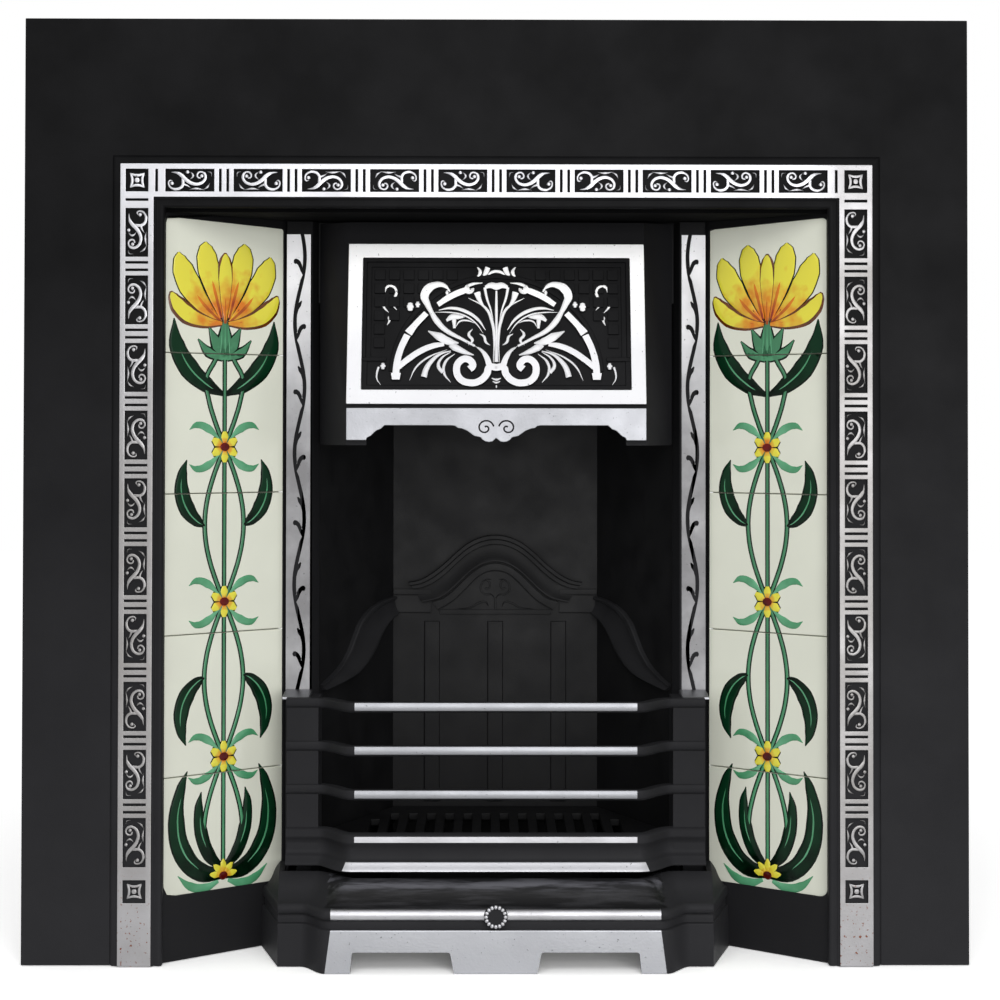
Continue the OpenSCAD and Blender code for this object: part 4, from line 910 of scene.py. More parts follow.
# One pocket's scroll, in mm from the pocket's middle: a stem that ends in a spiral at the upper right
SCROLL = [
    ([(-20.5, 9), (-14, 8.2), (-9, 5.2), (-4, 0.4), (2, -3.2), (9, -3.9), (15.4, 0.2), (16.2, 5.9), (11.8, 9.4),
      (7.9, 7.0), (8.3, 3.4), (11.2, 2.6)], [0.5, 2.1, 3.0, 3.0, 2.6, 2.3, 2.1, 2.0, 1.8, 1.7, 1.5, 1.3]),
    ball(12.6, 4.7, 2.5),
    ([(-9, 5.4), (-7.6, -0.9), (-8.3, -6.0), (-13.5, -9.4), (-20.2, -8.2), (-23.2, -3.3), (-21.8, 0.0), (-19.0, -1.0)],
     [1.6, 2.2, 2.2, 2.0, 1.9, 1.7, 1.4, 1.0]),
    ball(-19.3, -3.2, 2.6),
    stroke([(-6.8, -4.2), (-3.2, -5.4), (0.6, -8.0)], 2.2, "end"),
    stroke([(-1.3, -9.8), (6.5, -8.8), (15.9, -10.4)], 2.2, "leaf"),
    stroke([(13.9, -9.9), (18.4, -7.4), (20.9, -2.9)], 1.7),
    stroke([(-0.6, 0.8), (3.2, 5.2), (-0.5, 10.0)], 1.9),
    ball(-2.6, 9.0, 2.5),
    stroke([(18.6, 9.6), (22.4, 8.6), (23.0, 4.2)], 1.2),
]


class FIREPLACE_OT_border_scrolls(bpy.types.Operator):
    """Scrolls in the border's pockets and the squares at its corners"""

    bl_idname = "fireplace.border_scrolls"
    bl_label = "Border scrolls"

    def execute(self, context):
        tall = sizes().border_relief / MM
        # the drawing turns over from pocket to pocket
        top = [seat((-TOP_PITCH * POCKETS / 2 + (i + 0.5) * TOP_PITCH, POCKET_Y, BAND_Z))
               @ Matrix.Diagonal(((1, -1)[i % 2], (1, 1, -1, -1)[i % 4], 1, 1)) for i in range(POCKETS)]
        for name, places in (("border_scrolls_top", top), ("border_scrolls_left", self.side(-1)),
                             ("border_scrolls_right", self.side(1))):
            piece = stamp(name, draw(name, bolder(SCROLL, 0.9), tall, steep=1.3), places)
            self.finish(smooth(piece, 50))
        self.corners(tall)
        return {"FINISHED"}

    def side(self, side):
        """Places down one leg: the drawing stands on end, and its spiral changes corner from pocket to pocket."""
        places = []
        for i in range(POCKETS):
            along, across = ((-1, -1), (1, -1), (-1, 1), (1, 1))[i % 4]
            turn = Matrix(((0, across * -side, 0, 0), (along, 0, 0, 0), (0, 0, 1, 0), (0, 0, 0, 1)))
            places.append(seat((side * BAND_X, POCKET_Y, SIDE_TOP - (i + 0.5) * SIDE_PITCH)) @ turn)
        return places

    def corners(self, tall):
        """Squares with four inward bows and a round boss."""
        bow = [(-7.8, 7.8), (-3.6, 5.8), (0, 5.3), (3.6, 5.8), (7.8, 7.8)]
        star = []
        for turn in ((1, 0, 0, 1), (0, 1, -1, 0), (-1, 0, 0, -1), (0, -1, 1, 0)):
            points = [(x * turn[0] + z * turn[1], x * turn[2] + z * turn[3]) for x, z in bow]
            star.append((points, [0.9, 1.6, 1.8, 1.6, 0.9]))
        places = [seat((x * BAND_X, POCKET_Y, z)) for x in (-1, 1) for z in (BAND_Z, LOW_CORNER_Z)]
        bows = draw("bow", star, tall * 0.8, steep=2.4)
        self.finish(smooth(stamp("corner_bows", bows, places), 50))
        boss = draw("boss", [ball(0, 0, 3.1)], tall, steep=3.0, ring=3)
        self.finish(smooth(stamp("corner_bosses", boss, places), 50))

    def finish(self, piece):
        seat_on(buff(piece, Vector((0, -1, 0)), 0.72, 0.42, polished_iron("greyed")), "surround", "polished_iron")


# ---------- pilaster strips ----------

STRIP_X = (208.2, 235.0)
STRIP_Z = (281.5, 792.4)
STRIP_FACE, STRIP_BACK = 89.7, 90.9
WAVE, FIRST_BEND = 146.6, 25.7       # of the stem, down from the strip's head
SWING, LEAN = 5.5, 1.3               # how far it swings, and how far it hangs towards the fire
# a thorn above a bend and a bud below the one before, each as (out from the stem, down from the bend)
THORN = [(0.8, -22.0), (3.6, -24.6), (4.6, -23.6), (3.4, -18.6), (0.8, -14.6)]
BUD = [(0.9, 11.6), (2.0, 8.0), (3.6, 4.6), (5.6, 2.8), (7.6, 1.8), (9.7, 1.9), (10.9, 3.6), (10.9, 6.0), (9.4, 7.6),
       (7.8, 7.2), (6.3, 8.6), (4.8, 11.8), (3.2, 15.8), (0.9, 20.0)]


class FIREPLACE_OT_pilasters(bpy.types.Operator):
    """Polished strips beside the opening, with a vine cut through the polish"""

    bl_idname = "fireplace.pilasters"
    bl_label = "Pilaster strips"

    def execute(self, context):
        half = sizes().vine_width / MM / 2
        middle, thick = (STRIP_FACE + STRIP_BACK) / 2, STRIP_BACK - STRIP_FACE
        for side, word in ((-1, "left"), (1, "right")):
            outlines = [self.outline(half, side, edge) for edge in (-1, 1)]
            strip = plate("pilaster_strip_" + word, outlines, thick, 0.25)
            smooth(lay(strip, seat((side * sum(STRIP_X) / 2, middle, STRIP_Z[0]))), 20)
            seat_on(coat(strip, polished_iron("strip")), "surround", "polished_iron")
        return {"FINISHED"}

    def outline(self, half, side, edge):
        """The part of a strip on one side of the vine: its outer edge is straight, and its inner one follows the waving
        stem, with a bud below each bend and a thorn above the next."""
        height, wide = STRIP_Z[1] - STRIP_Z[0], (STRIP_X[1] - STRIP_X[0]) / 2

        def stem(down):
            return side * (-LEAN - SWING * math.cos(2 * math.pi * (down - FIRST_BEND) / WAVE))
        features = []
        for k in range(8):
            bend = FIRST_BEND + k * WAVE / 2
            if (side if k % 2 == 0 else -side) == edge:
                features += [[(x, bend + d) for x, d in shape]
                             for shape, fits in ((THORN, k > 0), (BUD, bend + 20 < height)) if fits]
        points, down = [(edge * wide, height), (stem(0) + edge * half, height)], 0.0
        while down < height:
            if features and features[0][0][1] <= down + 4:
                shape = features.pop(0)
                foot = stem(sum(d for _, d in shape) / len(shape))
                points += [(foot + edge * (half * 0.62 + x), height - d) for x, d in shape]
                down = shape[-1][1] + 2
            else:
                down = min(down + 4, height)
                points.append((stem(down) + edge * half, height - down))
        return points + [(edge * wide, 0)]


# ---------- tiles ----------

TILE_BEHIND = 2.8         # tile face behind the panel's face
TILE_FOOT, TILE_PITCH, TILE_SIZE = 44.0, 153.2, 152.4
PANEL_MIDDLE = 77.0       # along the panel from its outer edge
FLOWER_FOOT = 640         # foot of the open flower, up from the foot of a column
STEM_FOOT, STEM_HEAD = 80, 628


def tile_place(side):
    """Seat of a column's drawing: across the tiles, up from their foot and out of the glaze."""
    along, behind = -PANEL_ALONG.to_3d(), Vector((math.sin(SPLAY), math.cos(SPLAY), 0))
    middle = Vector((*PANEL_OUT, 0)) + along * PANEL_MIDDLE + behind * TILE_BEHIND
    across = Vector((-along.x, -side * along.y, 0))
    return seat((side * middle.x, middle.y, TILE_FOOT), across)


class FIREPLACE_OT_tiles(bpy.types.Operator):
    """Ten glazed tiles, five in each column, with one raised flower design running up them"""

    bl_idname = "fireplace.tiles"
    bl_label = "Tiles"

    def execute(self, context):
        for side, word in ((-1, "left"), (1, "right")):
            place = tile_place(side)
            layers = []
            for kind, level, lines in self.design():
                steep = 1.0 if max(max(widths) for _, widths in lines) > 2 else 3.0
                piece = grade(draw("glaze_" + kind, lines, level, steep=steep, turns=5), lines)
                layers.append(coat(lay(piece, place), glaze(kind)))
            column = join("design_" + word, layers)
            for n in range(1, 6):
                node = f"tile_{word}_{n}"
                tile = coat(soften(node, "glazed_" + node, 1.4, 4), glaze("cream"))
                part = self.between(column, TILE_FOOT + (n - 1) * TILE_PITCH, TILE_SIZE)
                tile = join("glazed_" + node, [tile, part])
                seat_on(tile, "surround", "tile", node)
            bpy.data.objects.remove(column)
        return {"FINISHED"}

    def between(self, column, low, tall):
        """The part of a column's design that lies on one tile, cut flush with the tile's edges."""
        part = add_object("part", column.data.copy())
        pick(part)
        bpy.ops.object.mode_set(mode="EDIT")
        for z, normal in ((low + 0.2, -1), (low + tall - 0.2, 1)):
            bpy.ops.mesh.select_all(action="SELECT")
            bpy.ops.mesh.bisect(plane_co=(0, 0, z * MM), plane_no=(0, 0, normal), use_fill=True, clear_outer=True)
        bpy.ops.object.mode_set(mode="OBJECT")
        return part

    def design(self):
        """Layers of the design as (glaze, height, strokes), in mm from the foot of the column."""
        relief, foot = sizes().glaze_relief / MM, FLOWER_FOOT

        def pair(*strokes):
            """Strokes given as on the right, first on the left and then on the right."""
            return [([(sign * u, v) for u, v in points], widths) for sign in (-1, 1) for points, widths in strokes]

        def ray(v, degrees, reach, widths):
            """A petal that points away from the middle, at a height."""
            a = math.radians(degrees)
            return [(r * math.cos(a), v + r * math.sin(a)) for r in reach], widths

        def sway(v):
            """The outer stems swing from rosette to rosette and close on the flower."""
            return 24 * math.sin(2 * math.pi * v / 340) * min(1, max(0.1, (STEM_HEAD - v) / 45))

        def outlined(drawn, wider):
            """Strokes that show as lines round those drawn, at most so much wider."""
            return [(points, [w + min(wider, w) for w in widths]) for points, widths in drawn]
        heights = [STEM_FOOT + (STEM_HEAD - STEM_FOOT) * i / 25 for i in range(26)]
        stems = pair(([(sway(v), v) for v in heights], [1.9] * len(heights)))
        stems.append(([(0, v) for v in (44, 200, 400, 640)], [1.7] * 4))
        leaves, pales, veins, petals, embers, reds = [], [], [], [], [], []
        # crescent leaves hang from each bulge
        for v, grow in ((258, -1), (424, 1)):
            u = abs(sway(v))
            leaf = [(u + out, v + up * grow) for out, up in ((0, 0), (9, 5), (21, 18), (28, 38), (27, 58), (22, 72))]
            leaves += pair((leaf, [1.2, 5.4, 8.6, 8.0, 4.6, 0.3]))
            veins += pair(([(a + 1, b) for a, b in leaf[:5]], [0.3, 0.8, 1.1, 0.9, 0.2]))
        # rosettes where the stems cross
        for v in (170, 340, 510):
            petals += [ray(v, 60 * k + 30, (4, 11, 17), [2.6, 5.6, 2.4]) for k in range(6)]
            reds.append(ball(0, v, 5.6))
            pales += pair(*[([(7, v + rise * 9), (20, v + rise * 20), (34, v + rise * 24), (43, v + rise * 19)],
                             [1.0, 4.6, 3.6, 0.3]) for rise in (-1, 1)])
        # wide open flower at the top: the petals at the back, then those in front
        paths = (([(6, 8), (27, 26), (43, 46), (52, 64), (56, 76), (57, 82)], [2.4, 9.5, 14, 12.5, 7.0, 0.8]),
                 ([(5, 12), (13, 40), (20, 64), (23, 80), (24, 90), (24, 95)], [2.4, 9.6, 13.4, 12, 7.4, 0.8]))
        petals += pair(*[([(a, foot + b) for a, b in path], widths) for path, widths in paths])
        fronts = pair(([(4, foot + 6), (26, foot + 8), (46, foot + 15), (58, foot + 25), (64, foot + 34),
                        (66, foot + 39)], [2.4, 7.6, 11, 9.6, 5.2, 0.8]))
        embers += pair(*[([(a * 0.98, foot + b) for a, b in path[:3]], [1.6, widths[1] * 0.26, 0.2])
                         for path, widths in paths],
                       ([(5, foot + 7), (20, foot + 8), (36, foot + 13)], [1.6, 2.4, 0.2]))
        fronts.append(([(0, foot + v) for v in (10, 32, 54, 68, 78, 84)], [2.4, 7.6, 10.8, 9.4, 5.6, 0.8]))
        embers.append(([(0, foot + v) for v in (6, 30, 52)], [2.0, 2.6, 0.2]))
        for k in (-2, -1, 0, 1, 2):
            reds.append(([(k * 2.4, foot + 6), (k * 5.6, foot + 20 - abs(k) * 3), (k * 8.6, foot + 32 - abs(k) * 5)],
                         [0.5, 0.7, 1.4]))
        leaves += pair(([(2, foot - 72), (22, foot - 62), (44, foot - 44), (59, foot - 18), (62, foot + 10)],
                        [1.4, 8.0, 11.0, 8.4, 0.4]))
        veins += pair(([(10, foot - 69), (25, foot - 60), (44, foot - 43), (58, foot - 19)], [0.2, 1.0, 1.2, 0.2]))
        stems += pair(([(0, foot - 30), (9, foot - 18), (20, foot + 2)], [4.6, 8.0, 0.5]),
                      ([(2, foot - 32), (20, foot - 26), (33, foot - 12)], [3.4, 5.4, 0.5]))
        stems.append(([(0, foot - 34), (0, foot - 10), (0, foot + 16)], [6.6, 8.6, 0.5]))
        for u in (-5, 0, 5):
            veins.append(([(u * 1.1, foot - 26), (u * 0.9, foot - 10), (u * 0.8, foot + 5)], [0.4, 1.1, 0.3]))
        # fan of leaves at the foot
        leaves += pair(([(1, 42), (26, 46), (48, 68), (57, 104), (51, 142), (44, 158)],
                        [5.0, 9.0, 10.4, 9.0, 4.4, 0.3]),
                       ([(4, 50), (17, 64), (27, 90), (30, 118), (27, 134)], [3.0, 6.4, 7.0, 4.0, 0.3]))
        pales += pair(([(6, 34), (22, 29), (40, 33), (55, 46)], [2.0, 5.0, 4.6, 0.4]))
        veins += pair(([(27, 47), (48, 70), (56, 104), (50, 138)], [0.3, 1.3, 1.2, 0.2]),
                      ([(18, 66), (27, 90), (29, 116)], [0.2, 1.0, 0.2]))
        petals += [ray(40, 90 + 40 * k, (3, 11, 18), [2.4, 5.0, 1.2]) for k in (-2, -1, 0, 1, 2)]
        reds.append(ball(0, 40, 5.2))
        lines = outlined(stems, 1.2) + outlined(leaves, 1.2) + outlined(petals, 0.9)
        return [("line", relief * 0.45, lines), ("stem", relief * 0.8, stems), ("leaf", relief, leaves),
                ("pale", relief * 1.15, pales), ("pale", relief * 1.3, veins), ("petal", relief * 1.1, petals),
                ("edge", relief * 1.25, outlined(fronts, 0.9)), ("petal", relief * 1.45, fronts),
                ("ember", relief * 1.6, embers), ("red", relief * 1.8, reds)]


# ---------- hood ----------

HOOD_LEAN = math.radians(12.6)
HOOD_KNEE = (0.0, 37.0, 600.0)
HOOD_FACE = 6.8           # frame face out of the sloping plane
FIELD_FLOOR = 2.1         # floor of the inner field out of the sloping plane
FIELD_FOOT = 16.0         # foot of the field, up the slope
# the field's left end, its head, and the ledge that the arch springs from
FIELD_LEFT, FIELD_TOP, FIELD_SPRING = -147.6, 150.6, 37
HOOD_UP = Vector((0, math.sin(HOOD_LEAN), math.cos(HOOD_LEAN)))
HOOD_AWAY = Vector((0, -math.cos(HOOD_LEAN), math.sin(HOOD_LEAN)))


def hood_place():
    """Seat on the sloping front, with its zero at the foot of the middle of the sunk field."""
    return seat(Vector(HOOD_KNEE) + HOOD_UP * FIELD_FOOT + HOOD_AWAY * FIELD_FLOOR, (1, 0, 0), HOOD_UP)


# Left half of the scrollwork on the hood, in mm from the foot of the field's middle
HOOD_BANDS = [
    stroke([(1, 25.3), (-7.8, 25.3), (-10.5, 18), (-18.4, 10.1), (-28.9, 8), (-39.5, 12.3), (-43.7, 23.2),
            (-40.5, 31.9), (-33.1, 35.1), (-26.8, 30.8), (-26.2, 26.4), (-29.5, 23.6)], 3.7, "even"),
    stroke([(-7.8, 28.6), (-11, 37.3), (-16.3, 44.9), (-23.6, 50.3)], 3.2, "end"),
    ([(-110.1, 18.8), (-109, 30.8), (-104.8, 47.1), (-98, 62.3)], [3.6, 3.5, 3.4, 3.6]),
    ([(-97, 64), (-90.1, 73.1), (-77.4, 87.2)], [4.4, 3.3, 3.1]),
    ([(-64.8, 97), (-52.1, 105.7), (-38.4, 112.2), (-32.1, 114.4)], [2.6, 3.3, 3.3, 2.8]),
    ([(-108, 25.3), (-96.4, 35.1), (-81.6, 44.9), (-67.9, 50.3), (-57.4, 51.9)], [3.0, 3.2, 3.2, 3.0, 2.0]),
    ([(-110.1, 19), (-110.1, 11.5)], [5.2, 4.0]),
]
HOOD_SCROLLS = [
    ([(-23.6, 50.3), (-39.5, 59), (-55.3, 67.7), (-65.8, 78.6), (-72.1, 89.4), (-76.4, 98.1), (-79.5, 106.8),
      (-75.3, 115.5), (-67.9, 119.8), (-60.5, 120.4), (-54.2, 116.6), (-51.6, 112.2)],
     [1.2, 1.7, 2.6, 3.2, 2.4, 3.2, 4.4, 4.6, 3.6, 2.6, 1.6, 1.0]),
    ball(-54.6, 111.1, 2.6),
    stroke([(-127, 6.5), (-130.9, 12.8), (-131.0, 20), (-129.1, 26.4)], 1.2, "start"),
    ball(-124.4, 27, 3.6),
    stroke([(-123.4, 112), (-121.4, 117.8), (-115.6, 118.6), (-111.2, 114.4), (-112.2, 106.5), (-118.6, 98.1)], 1.9),
    stroke([(-110.1, 106.8), (-114.3, 98.1), (-110.1, 91.6)], 1.3),
    stroke([(-124.9, 102.4), (-124.6, 95.5), (-118.5, 88.3)], 1.4),
    stroke([(-113.4, 84), (-118.4, 83), (-118, 79.5), (-120.6, 74.3)], 1.5),
    ball(-95.2, 94.6, 4.6),
    ball(-87.0, 97.4, 3.3),
    stroke([(-50, 44.9), (-62, 41), (-71.1, 33), (-76.5, 25), (-79.5, 14.7)], 3.1, "start"),
    stroke([(-50, 43.8), (-60.5, 36.2), (-63.7, 27.3), (-58.4, 19.9)], 2.1, "start"),
    stroke([(-54.2, 46.5), (-75.3, 37.2), (-88, 26.3), (-95.3, 11.5)], 1.1),
    stroke([(-45.8, 41.6), (-56, 32), (-57.5, 20), (-50.1, 9.2)], 1.6),
    ([(-41.6, 53.7), (-52, 55), (-63, 60.5), (-75.2, 67.5)], [0.8, 4.0, 4.4, 0.6]),
    ([(-24.9, 40.2), (-36, 43.6), (-46, 48.5), (-53.2, 51.6)], [0.6, 2.8, 3.8, 1.0]),
    stroke([(-63.7, 91.6), (-50, 93.7), (-34.2, 89.9), (-20.5, 80.7), (-12, 68.8)], 1.9),
    stroke([(-67.9, 89.2), (-52, 88.9), (-36, 85.6), (-22.6, 76.4), (-14.5, 65)], 0.9),
    stroke([(-23.6, 76.6), (-32, 79.5), (-40.5, 78.5), (-45.2, 71.5)], 1.0),
    ([(-55.2, 79.2), (-49.2, 83.0), (-42, 83.4), (-34.9, 83.6)], [1.4, 3.2, 2.6, 0.6]),
    ([(-46.8, 80.4), (-46.3, 70.4)], [2.4, 1.4]),
    stroke([(-26.3, 69.9), (-30.5, 63.4), (-26.4, 56.7), (-31, 51.6)], 1.7),
    stroke([(-18.4, 64.4), (-13.6, 61.2), (-11.5, 54.7), (-6.8, 51.5)], 1.5),
    stroke([(-3.4, 31.8), (-2.4, 61.2), (-5.0, 78.6), (-11.9, 93.8), (-30.9, 105.5)], 1.7),
    stroke([(-12.9, 117.4), (-10.5, 105), (-6.2, 92), (-2.4, 72)], 1.5, "end"),
    ([(-21.4, 111.4), (-18.4, 102.4), (-12.0, 92.8)], [3.6, 2.2, 0.5]),
    stroke([(-35.2, 111.4), (-32.8, 117.8), (-26.8, 121.2), (-15.3, 123.1)], 1.8),
    ([(-35.6, 116.2), (-29.6, 113.0), (-24.6, 116.0)], [4.0, 3.4, 1.2]),
    stroke([(-21.9, 142.4), (-18.0, 134.9), (-25.7, 125.4)], 2.0),
    ([(-9.6, 140.3), (-11.6, 134.8), (-16.4, 129.4)], [2.8, 2.6, 0.5]),
]
# fine black lines that part the lobes of the leaves
HOOD_VEINS = [
    stroke([(-67, 61.5), (-60, 58.5), (-53.5, 56), (-47, 54.6)], 0.6),
    stroke([(-47, 47.4), (-39, 45.2), (-32, 42.4)], 0.6),
    stroke([(-66, 48.8), (-82, 43.2), (-96, 34.4)], 0.5),
    stroke([(-78.4, 104), (-74.8, 111.5), (-68, 115.4), (-61, 115.8)], 0.6),
    stroke([(-73, 84), (-68, 77), (-58, 69.4)], 0.5),
    stroke([(-62, 92.2), (-48, 91.6), (-34.4, 87.6), (-22, 78.6)], 0.5),
    stroke([(-58, 39.6), (-68.5, 31.6), (-74, 24), (-77, 16)], 0.6),
    stroke([(-54.6, 37.6), (-59.6, 30), (-58.6, 24)], 0.5),
    stroke([(-48, 82.2), (-42, 81.6), (-37, 82.4)], 0.5),
    stroke([(-46.6, 79), (-46.3, 73)], 0.5),
    stroke([(-8.4, 118.4), (0, 115.4), (8.4, 118.4)], 0.5),
    stroke([(-11.6, 97), (-5.2, 84), (-3.4, 70)], 0.45),
    stroke([(-106, 50), (-99.5, 65)], 0.5),
    stroke([(-61, 99.4), (-50, 107), (-40, 111.6)], 0.45),
]
HOOD_MIDDLE = [
    ([(0, 31.9), (0.1, 64.4), (0, 92), (0, 114.6)], [2.2, 1.1, 1.5, 1.0]),
    ([(-12.5, 117.6), (-6, 119.6), (0, 118.2), (6, 119.6), (12.5, 117.6)], [1.8, 3.2, 3.8, 3.2, 1.8]),
    ([(-11, 131), (-4, 135.6), (4, 135.6), (11, 131)], [0.8, 1.6, 1.6, 0.8]),
    ([(-5, 14), (0, 12.2), (5, 14)], [0.5, 1.3, 0.5]),
    ([(-4, 10.4), (0, 8.9), (4, 10.4)], [0.5, 1.1, 0.5]),
    ball(0, 4.4, 1.5),
]
VALANCE_SHARE = 0.955
SPIRAL_X, SPIRAL_Z = 12.0, 575.2
SPIRAL_WIDE, SPIRAL_TALL, SPIRAL_SHRINK, SPIRAL_TURN = 9.6, 9.2, 0.62, 0.62
SQUARE, SQUARE_TALL, SQUARE_PITCH = 11.6, 3.4, (16, 15.6)
FIRST_SQUARE, LAST_SQUARE = (129, 132), 52      # middle of the one in the upper right corner, and the lowest height
ARCH_RADIUS = 137                               # no square comes nearer to the arch's middle


class FIREPLACE_OT_hood(bpy.types.Operator):
    """Canopy hood, its scrolled panel and the shaped valance"""

    bl_idname = "fireplace.hood"
    bl_label = "Hood"

    def execute(self, context):
        # the canopy takes the lighter grey copy of the black, as painted light on its shaded sides
        recast("hood_shell", "hood_canopy", black_iron("brushed_grey"), "surround", "black_iron")
        panel = soften("hood_panel", "hood_scroll_panel", 0.9)

        def frame_bright(middle, normal):
            out = (middle - Vector(HOOD_KNEE)).dot(HOOD_AWAY)
            return int(out > HOOD_FACE - 0.75 and normal.dot(HOOD_AWAY) > 0.35)
        faces_take(panel, [black_iron(), polished_iron("frame")], frame_bright)
        seat_on(panel, "surround", "polished_iron", "hood_panel")
        place = hood_place()
        self.scrollwork(place)
        self.diaper(place)
        self.steps(place)
        self.valance()
        return {"FINISHED"}

    def scrollwork(self, place):
        tall = sizes().hood_relief / MM
        bands = draw("bands", bolder(mirrored(HOOD_BANDS), 1.28), tall * 0.8, steep=2.2, turns=6, ring=3)
        scrolls = draw("scrolls", bolder(mirrored(HOOD_SCROLLS) + HOOD_MIDDLE, 1.3), tall, steep=1.15, turns=5, ring=3)
        veins = draw("veins", mirrored(HOOD_VEINS), tall * 1.35, steep=2.5, turns=4)
        pieces = [buff(lay(bands, place), HOOD_AWAY, 0.6, 0.34, polished_iron("frame")),
                  buff(lay(scrolls, place), HOOD_AWAY, 0.74, 0.45, polished_iron("frame")),
                  coat(lay(veins, place), black_iron())]
        seat_on(join("hood_scrollwork", pieces), "surround", "polished_iron")

    def bar(self, low, high, tall, sunk=0.2):
        """A softened bar of the field's relief between two corners in mm, let a little into the floor."""
        part = start_from("bar", bpy.ops.mesh.primitive_cube_add, size=1)
        middle = ((low[0] + high[0]) / 2, (low[1] + high[1]) / 2, tall / 2 - sunk)
        part.data.transform(Matrix.LocRotScale(middle, None, (high[0] - low[0], high[1] - low[1], tall)))
        return modify(part, "BEVEL", width=0.5, segments=2, use_clamp_overlap=False)

    def diaper(self, place):
        """Rows of small raised squares in the field's upper corners, fewer towards the arch."""
        half = SQUARE / 2
        square = self.bar((-half, -half), (half, half), SQUARE_TALL, SQUARE_TALL / 2)
        places = []
        for row in range(6):
            for column in range(6):
                u, v = FIRST_SQUARE[0] - SQUARE_PITCH[0] * column, FIRST_SQUARE[1] - SQUARE_PITCH[1] * row
                if u * u + (v + 4) ** 2 > ARCH_RADIUS ** 2 + 4 * row and v > LAST_SQUARE:
                    places += [place @ Matrix.Translation((sign * u, v, 0.3)) for sign in (-1, 1)]
        piece = smooth(stamp("hood_diaper", square, places))
        # the squares' sides take the matt black, darkened as painted shade
        faces_take(piece, [black_iron(), black_iron("unrubbed")],
                   lambda middle, normal: int(normal.dot(HOOD_AWAY) < 0.9))
        seat_on(piece, "surround", "black_iron")

    def steps(self, place):
        """Two nested steps round the field, which end in a ledge at the springing of the arch."""
        bars = []
        for sign in (-1, 1):
            a, b = sorted((sign * 147, sign * 121))
            bars.append(self.bar((a, FIELD_SPRING - 4), (b, FIELD_SPRING + 0.4), 2.4))
        for inset, wide, tall in ((0.0, 4.0, 3.4), (4.0, 5.5, 1.7)):
            left, top = FIELD_LEFT + inset, FIELD_TOP - inset
            bars.append(self.bar((left, top - wide), (-left, top), tall))
            for sign in (-1, 1):
                a, b = sorted((sign * left, sign * (left + wide)))
                bars.append(self.bar((a, FIELD_SPRING), (b, top), tall - 0.05))
        steps = join("hood_field_steps", [lay(bar, place) for bar in bars])
        seat_on(coat(steps, black_iron()), "surround", "black_iron")

    def valance(self):
        """The shaped foot of the hood, with two spirals cut in its middle."""
        lines = []
        for sign in (-1, 1):
            turns = [(sign * (SPIRAL_X - (SPIRAL_WIDE - SPIRAL_SHRINK * k) * math.cos(k * SPIRAL_TURN + 0.2)),
                      (SPIRAL_TALL - SPIRAL_SHRINK * k) * math.sin(k * SPIRAL_TURN + 0.2)) for k in range(14)]
            lines.append((turns, [1.15] * 14))
        face = front_of("hood_valance")
        valance = soften("hood_valance", "hood_shaped_valance", 0.9, shape=self.shallow)
        groove = draw("groove", lines, 1.4, turns=5)
        groove.data.transform(seat((0, face + 0.6, SPIRAL_Z)))
        cut(valance, groove)

        def bright(middle, normal):
            faces_out = normal.y < -0.3 and middle.y < face + 0.5
            return int(faces_out or normal.z < -0.4 or normal.z > 0.7)
        faces_take(smooth(valance), [black_iron(), polished_iron("dulled")], bright)
        seat_on(valance, "surround", "polished_iron", "hood_valance")

    def shallow(self, mesh):
        """The valance's foot rises, to leave this share of its height."""
        head = max(v.co.z for v in mesh.verts)
        for vertex in mesh.verts:
            vertex.co.z = head + (vertex.co.z - head) * VALANCE_SHARE


# ---------- firebox ----------

BACK_Y = 275.0
BELL_OUTER = [(-105, 388.8), (-92.1, 391.2), (-77.6, 399), (-62.4, 410.7), (-46.7, 425.2), (-32.2, 436.4),
              (-16.3, 443.4), (0, 445.8)]
BELL_INNER = [(-88, 364.5), (-77, 366.6), (-65, 370.4), (-53, 379.2), (-42, 389.8), (-30, 401), (-16, 410), (0, 413.5)]
ARCH_OUTER = [(-77, 365.8), (-64, 369.4), (-53, 377.4), (-42, 388), (-30, 399.4), (-16, 408.6), (0, 412.2)]
ARCH_INNER = [(-68.6, 354), (-51.6, 364.5), (-43, 372), (-34.6, 380.6), (-21.6, 393.4), (-11.5, 399.6), (0, 401.6)]
# each profile: (share of the way across the moulding, height in mm)
BELL_PROFILE = [(0, -0.4), (0, 8.4), (0.02, 9.2), (0.14, 9.2), (0.17, 8.4), (0.17, 6.8), (0.19, 6.4), (0.33, 6.4),
                (0.35, 5.8), (0.36, 2.0), (0.5, 2.2), (0.68, 3.6), (0.84, 6.0), (0.93, 7.6), (0.98, 7.6), (1, 6.8),
                (1, -0.4)]
ARCH_PROFILE = [(0, -0.4), (0, 1.2), (0.08, 1.4), (0.12, 3.0), (0.5, 3.4), (0.86, 3.0), (0.9, 1.6), (1, 1.2), (1, -0.4)]
STRING_PROFILE = [(0, -0.4), (0, 3.6), (0.03, 4.0), (0.2, 4.0), (0.24, 3.4), (0.26, 1.2), (0.5, 1.4), (0.78, 2.6),
                  (0.94, 3.4), (0.98, 3.2), (1, 2.6), (1, -0.4)]
CURLS = [
    stroke([(0, 367.5), (-4.5, 373.2), (-12, 373.6), (-17.4, 379.2), (-16.4, 386.4), (-10.6, 391.4),
            (-4.4, 391.8)], 1.2),
    stroke([(-10.6, 391.4), (-6.6, 387), (-8.2, 380.8), (-12.6, 381.4)], 1.1, "even"),
    stroke([(-46, 356), (-30, 357.5), (-20, 363), (-11.6, 364.3), (-8, 358.6)], 1.3),
]
CHEEK_UPPER = [(6, 283), (44, 298.5), (65, 314.5), (78, 330.4), (93, 348.2), (117.5, 361.6), (147, 368.8),
               (175, 371.4)]
CHEEK_LOWER = [(10, 277), (48, 281.5), (81, 287.6), (106, 299), (125.5, 314.2), (139.5, 329.6), (157, 342.4),
               (175, 348.8)]
